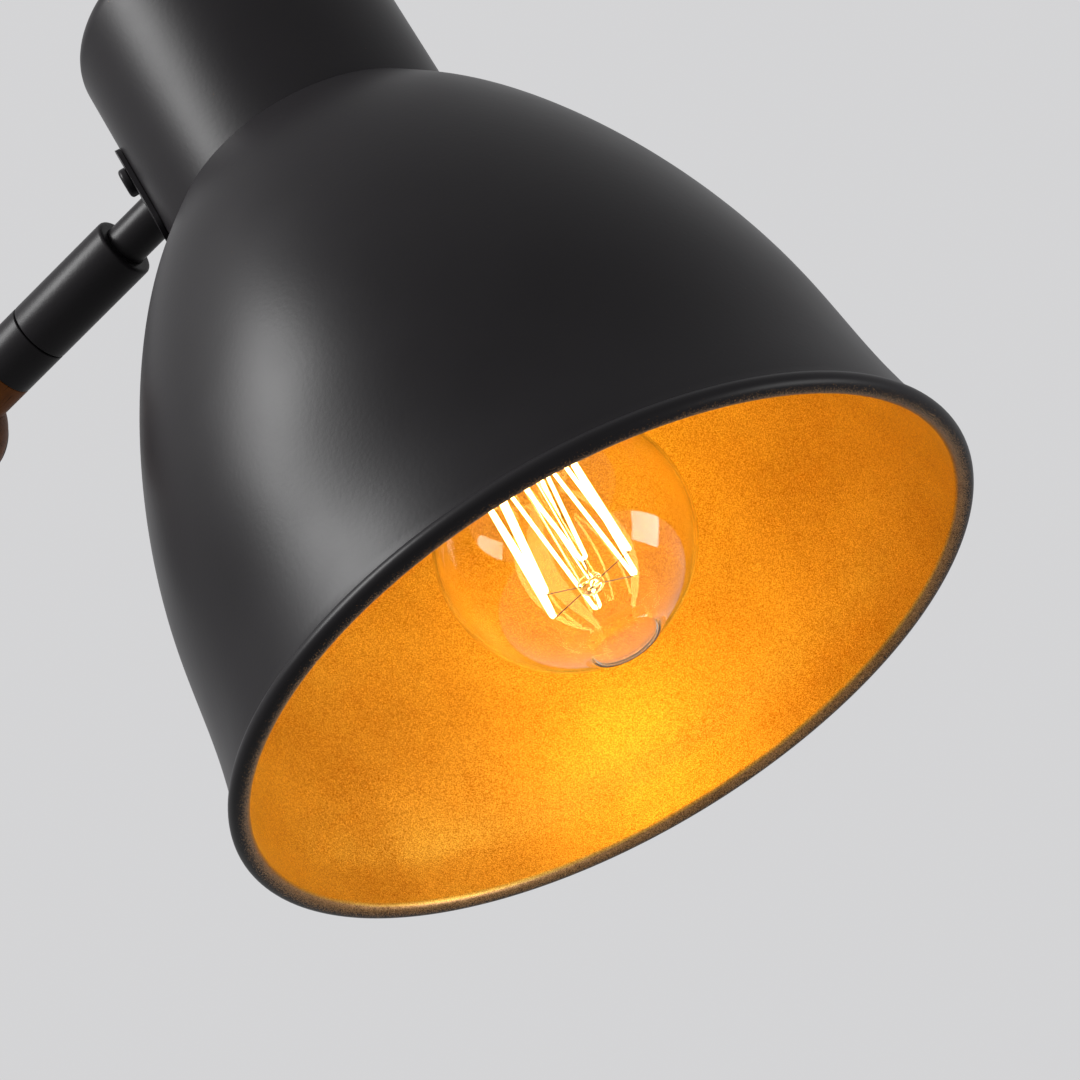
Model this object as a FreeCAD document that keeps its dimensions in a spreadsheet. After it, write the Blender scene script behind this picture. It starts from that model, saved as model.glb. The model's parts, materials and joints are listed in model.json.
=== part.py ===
import FreeCAD, Part
import math
import os

import Sketcher
from FreeCAD import Placement, Rotation, Vector

# Swing arm wall light. A round canopy on the wall carries a fork with an upright pin, and a wooden arm swings
# on it. At the arm's end a wooden ball hub tilts in a second fork. From the hub a short arm carries a bell
# shade that swivels about the short arm's own line.
#
# Frame: the wall is the plane Y = 0, the light stands out from it towards -Y, and +Z is up.
# The origin is the middle of the canopy's back, on the wall. Lengths are in millimetres, angles in degrees.

doc = FreeCAD.newDocument("SwingArmWallLight")
sheet = doc.addObject("Spreadsheet::Sheet", "Sizes")

# The driving dimensions
SIZES = [
    # fits and pose
    ("fit_gap", 0.05, "radial clearance of a pin, tube or screw in its hole"),
    ("face_gap", 0.1, "clearance between faces that rub as a joint turns"),
    ("nest_gap", 0.2, "gap between two curved sheets that lie on each other"),
    ("swing_angle", 34.3, "how far the arm stands out from the wall at rest"),
    ("slope_angle", 33.4, "how far the short arm rises at rest"),
    # arm and tubes
    ("rod_radius", 8.25, "wooden rods and black ferrules, outside"),
    ("tube_radius", 5.0, "core tubes, outside"),
    ("tube_wall", 1.0, "core tubes, wall"),
    ("tube_seat", 6.0, "short core tube inside the collar"),
    ("tube_back", 3.0, "knuckle barrel to the long core tube"),
    ("edge_round", 0.8, "rounded ends of the ferrules"),
    ("swing_out", 48.0, "wall to the upright swing axis"),
    ("arm_reach", 220.0, "swing axis to elbow axis"),
    # wall bracket
    ("bracket_wall", 1.5, "sheet of the wall bracket"),
    ("bracket_width", 22.0, "height of the bracket's bar"),
    ("bracket_reach", 53.2, "middle to the ears' outer faces"),
    ("ear_depth", 12.0, "how far the ears stand out"),
    ("ear_width", 14.0, "ears, across"),
    ("tab_width", 26.0, "tab under the terminal block, across"),
    ("tab_top", 38.0, "top of that tab"),
    ("slot_offset", 30.0, "middle of each wall-screw slot from the centre"),
    ("slot_length", 10.0, "wall-screw slot, overall"),
    ("slot_width", 5.0, "wall-screw slot, across"),
    ("cable_hole", 6.5, "radius of the hole for the supply cable"),
    # canopy
    ("canopy_radius", 55.0, "canopy, outside"),
    ("canopy_depth", 26.0, "wall to the canopy's front"),
    ("canopy_wall", 1.2, "canopy sheet"),
    ("canopy_round", 6.0, "rounded front edge"),
    ("side_screw_out", 8.0, "canopy screws, from the wall"),
    ("small_thread", 1.95, "radius of the M4 screws"),
    ("side_head_radius", 3.6, "canopy screw heads"),
    ("side_head_height", 2.2, "canopy screw heads"),
    ("side_screw_length", 7.0, "canopy screws under the head"),
    # terminal block and earth screw
    ("block_length", 28.0, "terminal block, along"),
    ("block_width", 16.0, "terminal block, across"),
    ("block_height", 12.5, "terminal block, out from the bracket"),
    ("block_up", 26.0, "middle of the terminal block above the centre"),
    ("pole_pitch", 9.0, "distance between poles"),
    ("barrel_radius", 2.6, "brass barrels"),
    ("barrel_bore", 1.6, "wire hole in the barrels"),
    ("well_radius", 2.2, "screw wells"),
    ("well_spacing", 8.0, "distance between the two screws of a pole"),
    ("clamp_screw_radius", 2.0, "clamp screws"),
    ("clamp_screw_length", 3.6, "clamp screws"),
    ("earth_offset", 17.5, "earth screw from the centre"),
    ("earth_head_radius", 3.8, "earth screw head"),
    ("earth_head_height", 2.4, "earth screw head"),
    ("washer_wall", 0.8, "plain and toothed washers"),
    # rocker switch
    ("switch_down", 33.0, "middle of the switch below the centre"),
    ("bezel_width", 15.0, "switch bezel"),
    ("bezel_height", 21.5, "switch bezel"),
    ("bezel_thick", 1.6, "switch bezel"),
    ("switch_width", 12.6, "switch body"),
    ("switch_height", 19.2, "switch body"),
    ("switch_depth", 14.0, "switch body behind the canopy's front"),
    ("rocker_width", 10.0, "rocker across"),
    ("rocker_half", 7.9, "rocker, from its axis to each end"),
    ("rocker_rise", 3.2, "rocker ends above its axis"),
    ("rocker_dip", 2.0, "rocker middle above its axis"),
    ("rocker_side", 1.2, "rocker ends below its axis"),
    ("rocker_belly", 3.4, "rocker middle below its axis"),
    ("rocker_sink", 0.6, "rocker axis behind the canopy's front"),
    ("blade_spread", 5.0, "each switch terminal from the switch's middle"),
    ("rocker_tilt", 9.0, "rocker angle each side of level"),
    ("rocker_gap", 0.35, "gap round the rocker"),
    ("trunnion_radius", 1.0, "pivots on the rocker's sides"),
    ("trunnion_length", 0.6, "pivots in the switch body's walls"),
    ("blade_width", 4.8, "switch terminals"),
    ("blade_thick", 0.8, "switch terminals"),
    ("blade_length", 7.0, "switch terminals"),
    # wall fork and swing pin
    ("flange_radius", 20.0, "fork flange on the canopy"),
    ("flange_thick", 4.0, "fork flange"),
    ("fork_width", 20.0, "fork ears, across"),
    ("fork_ear", 4.0, "fork ears, thickness"),
    ("web_thick", 6.0, "fork web in front of the flange"),
    ("knuckle_height", 20.0, "arm knuckle along the pin"),
    ("washer_thick", 0.6, "nylon and fibre washers"),
    ("pin_head_radius", 7.0, "swing pin head"),
    ("pin_head_height", 2.6, "swing pin head"),
    ("pin_waist", 2.6, "waist of the swing pin, where the cable passes"),
    ("pin_thread", 8.0, "threaded hole in the swing pin's foot"),
    ("pin_screw_length", 7.0, "pin screw under the head"),
    ("cable_height", 9.0, "height of the cable's way through the knuckle"),
    ("nipple_radius", 4.95, "threaded M10 tubes"),
    ("nipple_bore", 3.5, "bore of the threaded tubes"),
    ("nut_flat", 14.0, "M10 nuts across flats"),
    ("nut_thick", 4.0, "M10 nuts"),
    # lower arm
    ("knuckle_ferrule", 34.0, "swing axis to the front of the knuckle's ferrule"),
    ("fork_ferrule", 14.0, "ferrule of the elbow fork"),
    ("grub_length", 3.0, "grub screws"),
    ("grub_back", 8.0, "knuckle's grub screw from the end of its ferrule"),
    ("grub_front", 6.0, "elbow fork's grub screw from the end of its ferrule"),
    # elbow
    ("hub_radius", 16.5, "wooden ball hub"),
    ("hub_width", 20.0, "hub across its two flats"),
    ("cheek_radius", 11.0, "elbow fork cheeks"),
    ("cheek_thick", 3.0, "elbow fork cheeks"),
    ("bridge_gap", 1.4, "hub to the fork's bridge"),
    ("bridge_thick", 8.0, "fork's bridge along the arm"),
    ("bridge_height", 16.5, "fork's bridge, upright"),
    ("bush_radius", 5.5, "brass bush in the hub"),
    ("bolt_radius", 4.0, "pivot bolt"),
    ("bolt_head_radius", 8.0, "pivot bolt head"),
    ("bolt_head_height", 3.0, "pivot bolt head"),
    ("slot_way", 7.0, "cable slot in the hub, across"),
    ("knob_radius", 13.0, "clamp knob"),
    ("knob_thick", 13.0, "clamp knob"),
    ("knob_scallop", 4.0, "radius of the knob's finger scallops"),
    ("knob_lobes", 6, "number of scallops"),
    ("insert_radius", 6.5, "brass insert of the knob"),
    ("insert_length", 9.0, "brass insert of the knob"),
    # short arm and swivel
    ("collar_start", 24.2, "elbow axis to the collar"),
    ("collar_length", 13.0, "collar behind the seam"),
    ("seam_gap", 0.3, "seam between collar and sleeve"),
    ("sleeve_length", 32.0, "sleeve in front of the seam"),
    ("sleeve_wall", 1.4, "sleeve, wall"),
    ("sleeve_front", 3.0, "sleeve, front wall"),
    ("bush_length", 8.0, "bearing inside the sleeve"),
    ("spigot_radius", 5.95, "swivel spigot of the collar"),
    ("spigot_bore", 3.8, "cable way through the spigot"),
    ("circlip_thick", 1.0, "circlip"),
    ("circlip_radius", 6.7, "circlip, outside"),
    ("circlip_groove", 5.3, "radius of the circlip's groove"),
    ("stub_out", 14.6, "stub tube showing between sleeve and strap"),
    ("stub_radius", 5.5, "stub tube, outside"),
    ("stub_flange", 6.7, "stub tube's flange inside the sleeve"),
    ("stub_flange_thick", 3.0, "that flange"),
    # shade
    ("rim_radius", 92.5, "outside of the rolled rim"),
    ("bead_radius", 2.4, "rolled rim, its own radius"),
    ("shade_wall", 1.0, "shade sheet"),
    ("flare_height", 20.0, "rim to the end of the flare"),
    ("flare_radius", 86.7, "shade radius there"),
    ("belly_rise", 30.0, "from there up to the belly"),
    ("belly_radius", 83.1, "shade radius there"),
    ("waist_rise", 35.0, "belly to the middle of the bell"),
    ("waist_radius", 74.3, "shade radius there"),
    ("brow_rise", 30.0, "middle of the bell to the brow"),
    ("brow_radius", 61.1, "shade radius there"),
    ("crown_rise", 20.0, "brow to the crown"),
    ("crown_radius", 48.2, "shade radius there"),
    ("neck_rise", 12.3, "crown to the foot of the neck"),
    ("neck_radius", 37.5, "neck, outside"),
    ("neck_length", 60.7, "neck, foot to top"),
    ("neck_round", 6.0, "rounded top edge of the neck"),
    ("stub_up", 27.5, "foot of the neck to the stub tube's middle line"),
    # strap and what is inside the neck
    ("saddle_wall", 1.2, "strap sheet"),
    ("saddle_half", 33.0, "half of the strap's angle round the neck"),
    ("saddle_corner", 4.5, "strap's rounded corners"),
    ("saddle_up", 8.4, "strap above the stub tube's middle"),
    ("saddle_down", 20.4, "strap below it"),
    ("screw_angle", 25.0, "strap screws, angle from the stub tube"),
    ("screw_head_radius", 3.7, "strap screw heads"),
    ("screw_head_height", 2.0, "strap screw heads"),
    ("screw_length", 9.0, "strap screws under the head"),
    ("small_nut_flat", 7.0, "M4 nuts across flats"),
    ("small_nut_thick", 3.0, "M4 nuts"),
    ("holder_sheet", 1.6, "lampholder bracket"),
    ("holder_leg_half", 34.0, "half angle of the bracket's leg"),
    ("holder_leg_up", 11.0, "leg above the stub tube's middle"),
    ("shelf_drop", 18.8, "stub tube's middle line down to the shelf's underside"),
    ("shelf_width", 24.0, "bracket's shelf across"),
    # lampholder and bulb
    ("holder_drop", 23.9, "shelf's underside down to the lampholder's top"),
    ("holder_offset", 5.6, "lampholder's line beyond the shade's middle line, away from the strap"),
    ("holder_length", 56.0, "lampholder overall"),
    ("holder_radius", 19.5, "lampholder, outside"),
    ("holder_well", 14.3, "radius of the lampholder's well"),
    ("well_depth", 31.0, "depth of that well"),
    ("collar_radius", 17.5, "lampholder's inner collar"),
    ("collar_height", 8.0, "lampholder's inner collar"),
    ("cap_wall", 1.9, "lampholder's cap, wall"),
    ("cap_slope", 8.0, "sloping shoulder of the lampholder's cap, along"),
    ("cap_draw", 7.5, "that shoulder, inwards"),
    ("nipple_grip", 6.0, "threaded tube inside the lampholder's cap"),
    ("thread_sheet", 0.5, "lampholder's brass thread"),
    ("thread_start", 6.0, "lampholder's mouth to its brass thread"),
    ("strip_length", 14.0, "contact strip in the lampholder"),
    ("strip_width", 5.0, "contact strip"),
    ("strip_thick", 0.6, "contact strip"),
    ("globe_radius", 30.0, "bulb globe"),
    ("bulb_reach", 75.0, "bulb's contact to the globe's centre"),
    ("glass_wall", 0.8, "bulb glass"),
    ("throat_length", 9.0, "bulb glass inside its cap"),
    ("pip_height", 1.5, "melted foot of the glass, below the globe"),
    ("pip_radius", 6.0, "round edge of that foot"),
    ("pip_base", 8.7, "where the foot grows out of the globe"),
    ("cap_radius", 13.3, "bulb cap, outside"),
    ("cap_nose", 5.0, "bulb's contact to the end of its cap"),
    ("cap_length", 21.5, "bulb cap"),
    ("contact_gap", 2.5, "floor of the lampholder's well to the bulb's contact"),
    ("stem_radius", 2.0, "glass stem"),
    ("button_drop", 13.0, "globe's centre down to the stem's button"),
    ("button_radius", 2.6, "stem's button"),
    ("cage_radius", 11.0, "ring of lower hooks that carry the filament"),
    ("cage_top_radius", 9.5, "ring of upper hooks"),
    ("strand_spread", 2.4, "angle between a hook and each of its two strands"),
    ("cage_rise", 32.5, "globe's centre up to the strands' upper ends"),
    ("strand_radius", 0.25, "filament strand"),
    ("hooks", 6, "number of lower hooks, each with two strands"),
    ("support_radius", 0.2, "support wires"),
    ("hook_length", 0.8, "support wires past their ring"),
]


class Measure:
    """A size known both as a number and as the sheet expression that gives it."""

    def __init__(self, text, number):
        self.text = text
        self.number = number

    def __add__(self, other):
        other = measure(other)
        return Measure(f"({self.text} + {other.text})", self.number + other.number)

    def __sub__(self, other):
        other = measure(other)
        return Measure(f"({self.text} - {other.text})", self.number - other.number)

    def __mul__(self, other):
        other = measure(other)
        return Measure(f"({self.text} * {other.text})", self.number * other.number)

    def __truediv__(self, other):
        other = measure(other)
        return Measure(f"({self.text} / {other.text})", self.number / other.number)

    def __neg__(self):
        return measure(0) - self

    def __radd__(self, other):
        return measure(other) + self

    def __rsub__(self, other):
        return measure(other) - self

    def __rmul__(self, other):
        return measure(other) * self

    def __float__(self):
        return self.number


def measure(value):
    """Turn a plain number into a Measure, and leave a Measure as it is."""
    if isinstance(value, Measure):
        return value
    return Measure(repr(float(value)), float(value))


def root(value):
    return Measure(f"sqrt({value.text})", math.sqrt(value.number))


class Sizes:
    """Every driving dimension by its name."""


for row, (alias, number, meaning) in enumerate(SIZES, start=1):
    sheet.set(f"A{row}", alias)
    sheet.set(f"B{row}", str(number))
    sheet.set(f"C{row}", meaning)
    sheet.setAlias(f"B{row}", alias)
doc.recompute()
for alias, number, meaning in SIZES:
    setattr(Sizes, alias, Measure(f"Sizes.{alias}", float(sheet.get(alias))))
D = Sizes

# Heights above the rim, from the sheet of the bell to what hangs in its neck
belly_height = D.flare_height + D.belly_rise
waist_height = belly_height + D.waist_rise
brow_height = waist_height + D.brow_rise
crown_height = brow_height + D.crown_rise
neck_height = crown_height + D.neck_rise
neck_top = neck_height + D.neck_length
stub_height = neck_height + D.stub_up
shelf_height = stub_height - D.shelf_drop
shelf_top = shelf_height + D.holder_sheet
holder_top = shelf_height - D.holder_drop
holder_mouth = holder_top - D.holder_length
well_floor = holder_mouth + D.well_depth
collar_foot = well_floor + 1.0
collar_top = collar_foot + D.collar_height
tip_height = well_floor - D.contact_gap
cap_end = tip_height - D.cap_nose
cap_start = cap_end - D.cap_length
globe_height = tip_height - D.bulb_reach
button_height = globe_height - D.button_drop
hook_gap = D.strand_radius + D.support_radius + D.fit_gap
cage_bottom = button_height + hook_gap
cage_top = globe_height + D.cage_rise

# Lengths that several pieces share
canopy_inside = D.canopy_radius - D.canopy_wall
canopy_floor = D.canopy_depth - D.canopy_wall
ear_inside = D.knuckle_height / 2 + D.washer_thick
ear_outside = ear_inside + D.fork_ear
tube_bore = D.tube_radius - D.tube_wall
tube_fit = D.tube_radius + D.fit_gap
nipple_fit = D.nipple_radius + D.fit_gap
screw_fit = D.small_thread + D.fit_gap
cheek_inside = D.hub_width / 2 + D.washer_thick + D.face_gap
cheek_outside = cheek_inside + D.cheek_thick
bridge_front = D.hub_radius + D.bridge_gap
bridge_back = bridge_front + D.bridge_thick
fork_back = bridge_back + D.fork_ferrule
hub_seat = root(D.hub_radius * D.hub_radius - D.rod_radius * D.rod_radius)
seam = D.collar_start + D.collar_length
sleeve_start = seam + D.seam_gap
sleeve_end = sleeve_start + D.sleeve_length
bearing_end = sleeve_start + D.bush_length
bore_fit = D.spigot_radius + D.fit_gap
ring_start = bearing_end + D.face_gap + D.washer_thick
ring_end = ring_start + D.circlip_thick
spigot_end = ring_end + D.circlip_thick
neck_inside = D.neck_radius - D.shade_wall
saddle_inside = D.neck_radius + D.nest_gap
saddle_outside = saddle_inside + D.saddle_wall
leg_outside = neck_inside - D.nest_gap
leg_inside = leg_outside - D.holder_sheet
head_reach = sleeve_end + D.stub_out + saddle_outside
strap_reach = D.neck_radius * 1.5

# Frames: where each body's own axes lie at rest
WALL = Placement(Vector(0, 0, 0), Rotation(Vector(1, 0, 0), 90))
ARM = Placement(Vector(0, -float(D.swing_out), 0), Rotation(Vector(0, 0, 1), -float(D.swing_angle)))
ELBOW = ARM * Placement(Vector(float(D.arm_reach), 0, 0), Rotation())
SHORT = ELBOW * Placement(Vector(0, 0, 0), Rotation(Vector(0, 1, 0), -float(D.slope_angle)))
HEAD = SHORT * Placement(Vector(float(head_reach), 0, -float(stub_height)), Rotation())
HOLDER = HEAD * Placement(Vector(float(D.holder_offset), 0, 0), Rotation())
ALONG_X = Placement(Vector(0, 0, 0), Rotation(Vector(0, 1, 0), 90))
ALONG_Y = Placement(Vector(0, 0, 0), Rotation(Vector(1, 0, 0), -90))
STRAIGHT = Placement()
TURNS = {"x": ALONG_X.Rotation, "y": ALONG_Y.Rotation, "z": Rotation()}

parts = []


def bind(thing, **properties):
    """Tie properties of an object to sheet expressions."""
    for name, value in properties.items():
        thing.setExpression(name, measure(value).text)


def place(thing, x, y, z):
    """Tie an object's position to sheet expressions."""
    for axis, value in (("x", x), ("y", y), ("z", z)):
        thing.setExpression(f".Placement.Base.{axis}", measure(value).text)


def cylinder(name, radius, length, axis="z", x=0, y=0, z=0):
    thing = doc.addObject("Part::Cylinder", name)
    thing.Placement = Placement(Vector(), TURNS[axis])
    bind(thing, Radius=radius, Height=length)
    place(thing, x, y, z)
    return thing


def ring(name, outer, inner, length, axis="z", x=0, y=0, z=0):
    """A washer or tube."""
    whole = cylinder(name + "_outside", outer, length, axis, x, y, z)
    hole = cylinder(name + "_hole", inner, length, axis, x, y, z)
    return cut(name, whole, hole)


def box(name, length, width, height, x=0, y=0, z=0):
    """A box whose middle lies at x and y and whose underside lies at z."""
    thing = doc.addObject("Part::Box", name)
    bind(thing, Length=length, Width=width, Height=height)
    place(thing, measure(x) - measure(length) / 2, measure(y) - measure(width) / 2, z)
    return thing


def fuse(name, *things):
    thing = doc.addObject("Part::MultiFuse", name)
    thing.Shapes = list(things)
    thing.Refine = True
    return thing


def group(name, *things):
    """Several separate solids that share one node."""
    thing = doc.addObject("Part::Compound", name)
    thing.Links = list(things)
    return thing


def cut(name, base, *tools):
    thing = doc.addObject("Part::Cut", name)
    thing.Base = base
    thing.Tool = tools[0] if len(tools) == 1 else fuse(name + "_tools", *tools)
    thing.Refine = True
    return thing


def common(name, first, second):
    thing = doc.addObject("Part::Common", name)
    thing.Base = first
    thing.Tool = second
    return thing


def keep(label, thing, frame, local=STRAIGHT):
    """Name a finished sub-part and put it in its place."""
    thing.Label = label
    thing.Placement = frame * local
    parts.append(thing)
    return thing


def new_sketch(body, name, role):
    """An empty sketch on one of a body's own planes."""
    sketch = body.newObject("Sketcher::SketchObject", name)
    plane = [item for item in body.Origin.OriginFeatures if item.Role == role][0]
    sketch.AttachmentSupport = (plane, [""])
    sketch.MapMode = "FlatFace"
    return sketch


def pin_point(sketch, geometry, point, x, y):
    """Hold one point of a sketch at sheet-driven distances from the origin."""
    for kind, axis, value in (("DistanceX", -2, measure(x)), ("DistanceY", -1, measure(y))):
        if value.number == 0:
            sketch.addConstraint(Sketcher.Constraint("PointOnObject", geometry, point, axis))
            continue
        index = sketch.addConstraint(Sketcher.Constraint(kind, -1, 1, geometry, point, value.number))
        sketch.setExpression(f"Constraints[{index}]", value.text)


def polygon(sketch, outline):
    """A closed outline of straight lines whose corners are driven by the sheet."""
    corners = [Vector(float(x), float(y), 0) for x, y in outline]
    count = len(corners)
    for index in range(count):
        sketch.addGeometry(Part.LineSegment(corners[index], corners[(index + 1) % count]), False)
    for index in range(count):
        sketch.addConstraint(Sketcher.Constraint("Coincident", index, 2, (index + 1) % count, 1))
    for index, (x, y) in enumerate(outline):
        pin_point(sketch, index, 1, x, y)


def circle(sketch, x, y, radius):
    """A circle whose middle and radius are driven by the sheet."""
    radius = measure(radius)
    middle = Vector(float(x), float(y), 0)
    index = sketch.addGeometry(Part.Circle(middle, Vector(0, 0, 1), radius.number), False)
    pin_point(sketch, index, 3, x, y)
    size = sketch.addConstraint(Sketcher.Constraint("Radius", index, radius.number))
    sketch.setExpression(f"Constraints[{size}]", radius.text)


def turned(name, outline):
    """A body turned about its own Z axis from an outline of (radius, height) corners."""
    body = doc.addObject("PartDesign::Body", name)
    sketch = new_sketch(body, name + "_outline", "XZ_Plane")
    polygon(sketch, outline)
    turn = body.newObject("PartDesign::Revolution", name + "_turn")
    turn.Profile = sketch
    turn.ReferenceAxis = (sketch, ["V_Axis"])
    turn.Angle = 360
    return body


def soften(body, radius, circles):
    """Round the circular edges of a turned body that lie at the given (radius, height) places."""
    doc.recompute()
    base = body.Tip
    names = []
    for number, edge in enumerate(base.Shape.Edges, start=1):
        if not isinstance(edge.Curve, Part.Circle):
            continue
        for around, height in circles:
            same_radius = abs(edge.Curve.Radius - float(around)) < 0.01
            if same_radius and abs(edge.Curve.Center.z - float(height)) < 0.01:
                names.append(f"Edge{number}")
    fillet = body.newObject("PartDesign::Fillet", body.Name + "_round")
    fillet.Base = (base, names)
    bind(fillet, Radius=radius)
    return body


def tube(name, outer, inner, start, end):
    """A turned tube between two heights."""
    return turned(name, [(inner, start), (outer, start), (outer, end), (inner, end)])


def dome_screw(name, shank_radius, shank_length, head_radius, head_height):
    """A screw along -Z whose head stands on Z = 0, with a rounded head."""
    body = turned(name, [
        (0, -shank_length), (shank_radius, -shank_length), (shank_radius, 0),
        (head_radius, 0), (head_radius, head_height), (0, head_height),
    ])
    return soften(body, head_height * 0.8, [(head_radius, head_height)])


def nut(name, across_flats, bore, thickness, z=0):
    """A hexagon nut on the Z axis."""
    hexagon = doc.addObject("Part::Prism", name + "_hexagon")
    hexagon.Polygon = 6
    bind(hexagon, Circumradius=measure(across_flats) / math.sqrt(3), Height=thickness)
    place(hexagon, 0, 0, z)
    return cut(name, hexagon, cylinder(name + "_bore", bore, thickness, z=z))


def moved(name, thing, placement):
    """One object held at a fixed placement, for use inside a group."""
    holder = doc.addObject("Part::Compound", name)
    holder.Links = [thing]
    holder.Placement = placement
    return holder


def round_corners(body, radius, thickness):
    """Round the corners of a sheet, at the straight edges that run through its thickness."""
    doc.recompute()
    base = body.Tip
    names = []
    for number, edge in enumerate(base.Shape.Edges, start=1):
        if isinstance(edge.Curve, Part.Line) and abs(edge.Length - float(thickness)) < 0.01:
            names.append(f"Edge{number}")
    fillet = body.newObject("PartDesign::Fillet", body.Name + "_corners")
    fillet.Base = (base, names)
    bind(fillet, Radius=radius)
    return body


def sector(name, outer, inner, half_angle, low, high):
    """A piece of a round sheet about Z, facing -X."""
    body = doc.addObject("PartDesign::Body", name)
    sketch = new_sketch(body, name + "_section", "XZ_Plane")
    polygon(sketch, [(-outer, low), (-inner, low), (-inner, high), (-outer, high)])
    turn = body.newObject("PartDesign::Revolution", name + "_turn")
    turn.Profile = sketch
    turn.ReferenceAxis = (sketch, ["V_Axis"])
    turn.Midplane = True
    bind(turn, Angle=half_angle * 2)
    return body


# Wall bracket: a bar with two slots, two ears and ends that follow the canopy, and a tab for the block
bar_length = D.bracket_reach * 2
bar = box("bracket_bar", bar_length, D.bracket_width, D.bracket_wall)
tab = box("bracket_tab", D.tab_width, D.tab_top, D.bracket_wall, y=D.tab_top / 2)
bracket_parts = [bar, tab]
bracket_holes = [cylinder("bracket_cable_hole", D.cable_hole, D.bracket_wall)]
bracket_holes.append(cylinder("bracket_earth_hole", screw_fit, D.bracket_wall, x=D.earth_offset))
for side, word in ((-1, "left"), (1, "right")):
    ear_middle = (D.bracket_reach - D.bracket_wall / 2) * side
    bracket_parts.append(box(f"ear_{word}", D.bracket_wall, D.ear_width, D.ear_depth, x=ear_middle))
    ear_back = (D.bracket_reach - D.bracket_wall * 2) * side
    if side < 0:
        ear_back = -D.bracket_reach - D.bracket_wall
    bracket_holes.append(cylinder(f"ear_hole_{word}", screw_fit, D.bracket_wall * 3, "x", x=ear_back,
                                  z=D.side_screw_out))
    slot_half = (D.slot_length - D.slot_width) / 2
    bracket_holes.append(box(f"slot_{word}", slot_half * 2, D.slot_width, D.bracket_wall,
                             x=D.slot_offset * side))
    for end in (-1, 1):
        bracket_holes.append(cylinder(f"slot_{word}_end_{end + 1}", D.slot_width / 2, D.bracket_wall,
                                      x=D.slot_offset * side + slot_half * end))
bracket_limit = cylinder("bracket_limit", canopy_inside - D.fit_gap, D.ear_depth)
bracket_blank = common("bracket_blank", fuse("bracket_sheet", *bracket_parts), bracket_limit)
keep("wall_bracket", cut("wall_bracket", bracket_blank, *bracket_holes), WALL)

# Canopy: a deep pressed cup, open to the wall
canopy_cup = turned("canopy_cup", [
    (nipple_fit, canopy_floor), (canopy_inside, canopy_floor), (canopy_inside, 0),
    (D.canopy_radius, 0), (D.canopy_radius, D.canopy_depth), (nipple_fit, D.canopy_depth),
])
soften(canopy_cup, D.canopy_round, [(D.canopy_radius, D.canopy_depth)])
soften(canopy_cup, D.canopy_round - D.canopy_wall, [(canopy_inside, canopy_floor)])
switch_hole = box("canopy_switch_hole", D.switch_width + D.rocker_gap, D.switch_height + D.rocker_gap,
                  D.canopy_wall * 3, y=-D.switch_down, z=D.canopy_depth - D.canopy_wall * 2)
side_holes = cylinder("canopy_side_holes", screw_fit, D.canopy_radius * 2.2, "x", x=-D.canopy_radius * 1.1,
                      z=D.side_screw_out)
keep("canopy", cut("canopy", canopy_cup, switch_hole, side_holes), WALL)

side_screws = []
for side, word in ((-1, "left"), (1, "right")):
    screw = dome_screw(f"side_screw_{word}", D.small_thread, D.side_screw_length, D.side_head_radius,
                       D.side_head_height)
    seat = Vector(float(D.canopy_radius) * side, 0, float(D.side_screw_out))
    side_screws.append(moved(f"side_screw_{word}_placed", screw,
                             Placement(seat, Rotation(Vector(0, 1, 0), 90 * side))))
keep("canopy_screws", group("canopy_screws", *side_screws), WALL)

# Terminal block with three poles, and the earth screw
block_foot = D.bracket_wall
block = box("block_body", D.block_length, D.block_width, D.block_height, y=D.block_up, z=block_foot)
barrel_out = block_foot + D.block_height / 2
block_holes = []
barrels = []
clamp_screws = []
for pole in (-1, 0, 1):
    across = D.pole_pitch * pole
    block_holes.append(cylinder(f"pole_{pole + 1}_way", D.barrel_radius + D.fit_gap, D.block_width, "y",
                                x=across, y=D.block_up - D.block_width / 2, z=barrel_out))
    barrel_start = D.block_up - D.block_width / 2 + 1.0
    barrels.append(ring(f"barrel_{pole + 1}", D.barrel_radius, D.barrel_bore, D.block_width - 2.0, "y",
                        x=across, y=barrel_start, z=barrel_out))
    for end in (-1, 1):
        along = D.block_up + D.well_spacing / 2 * end
        well_foot = barrel_out + D.barrel_radius + D.fit_gap
        block_holes.append(cylinder(f"well_{pole + 1}_{end + 1}", D.well_radius, D.block_height, x=across,
                                    y=along, z=barrel_out))
        clamp_screws.append(cylinder(f"clamp_{pole + 1}_{end + 1}", D.clamp_screw_radius,
                                     D.clamp_screw_length, x=across, y=along, z=well_foot))
keep("terminal_block", cut("terminal_block", block, *block_holes), WALL)
keep("terminal_barrels", group("terminal_barrels", *barrels), WALL)
keep("terminal_screws", group("terminal_screws", *clamp_screws), WALL)
earth = dome_screw("earth_screw_body", D.small_thread, D.bracket_wall, D.earth_head_radius,
                   D.earth_head_height)
earth_seat = Vector(float(D.earth_offset), 0, float(D.bracket_wall))
keep("earth_screw", earth, WALL, Placement(earth_seat, Rotation()))

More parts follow.
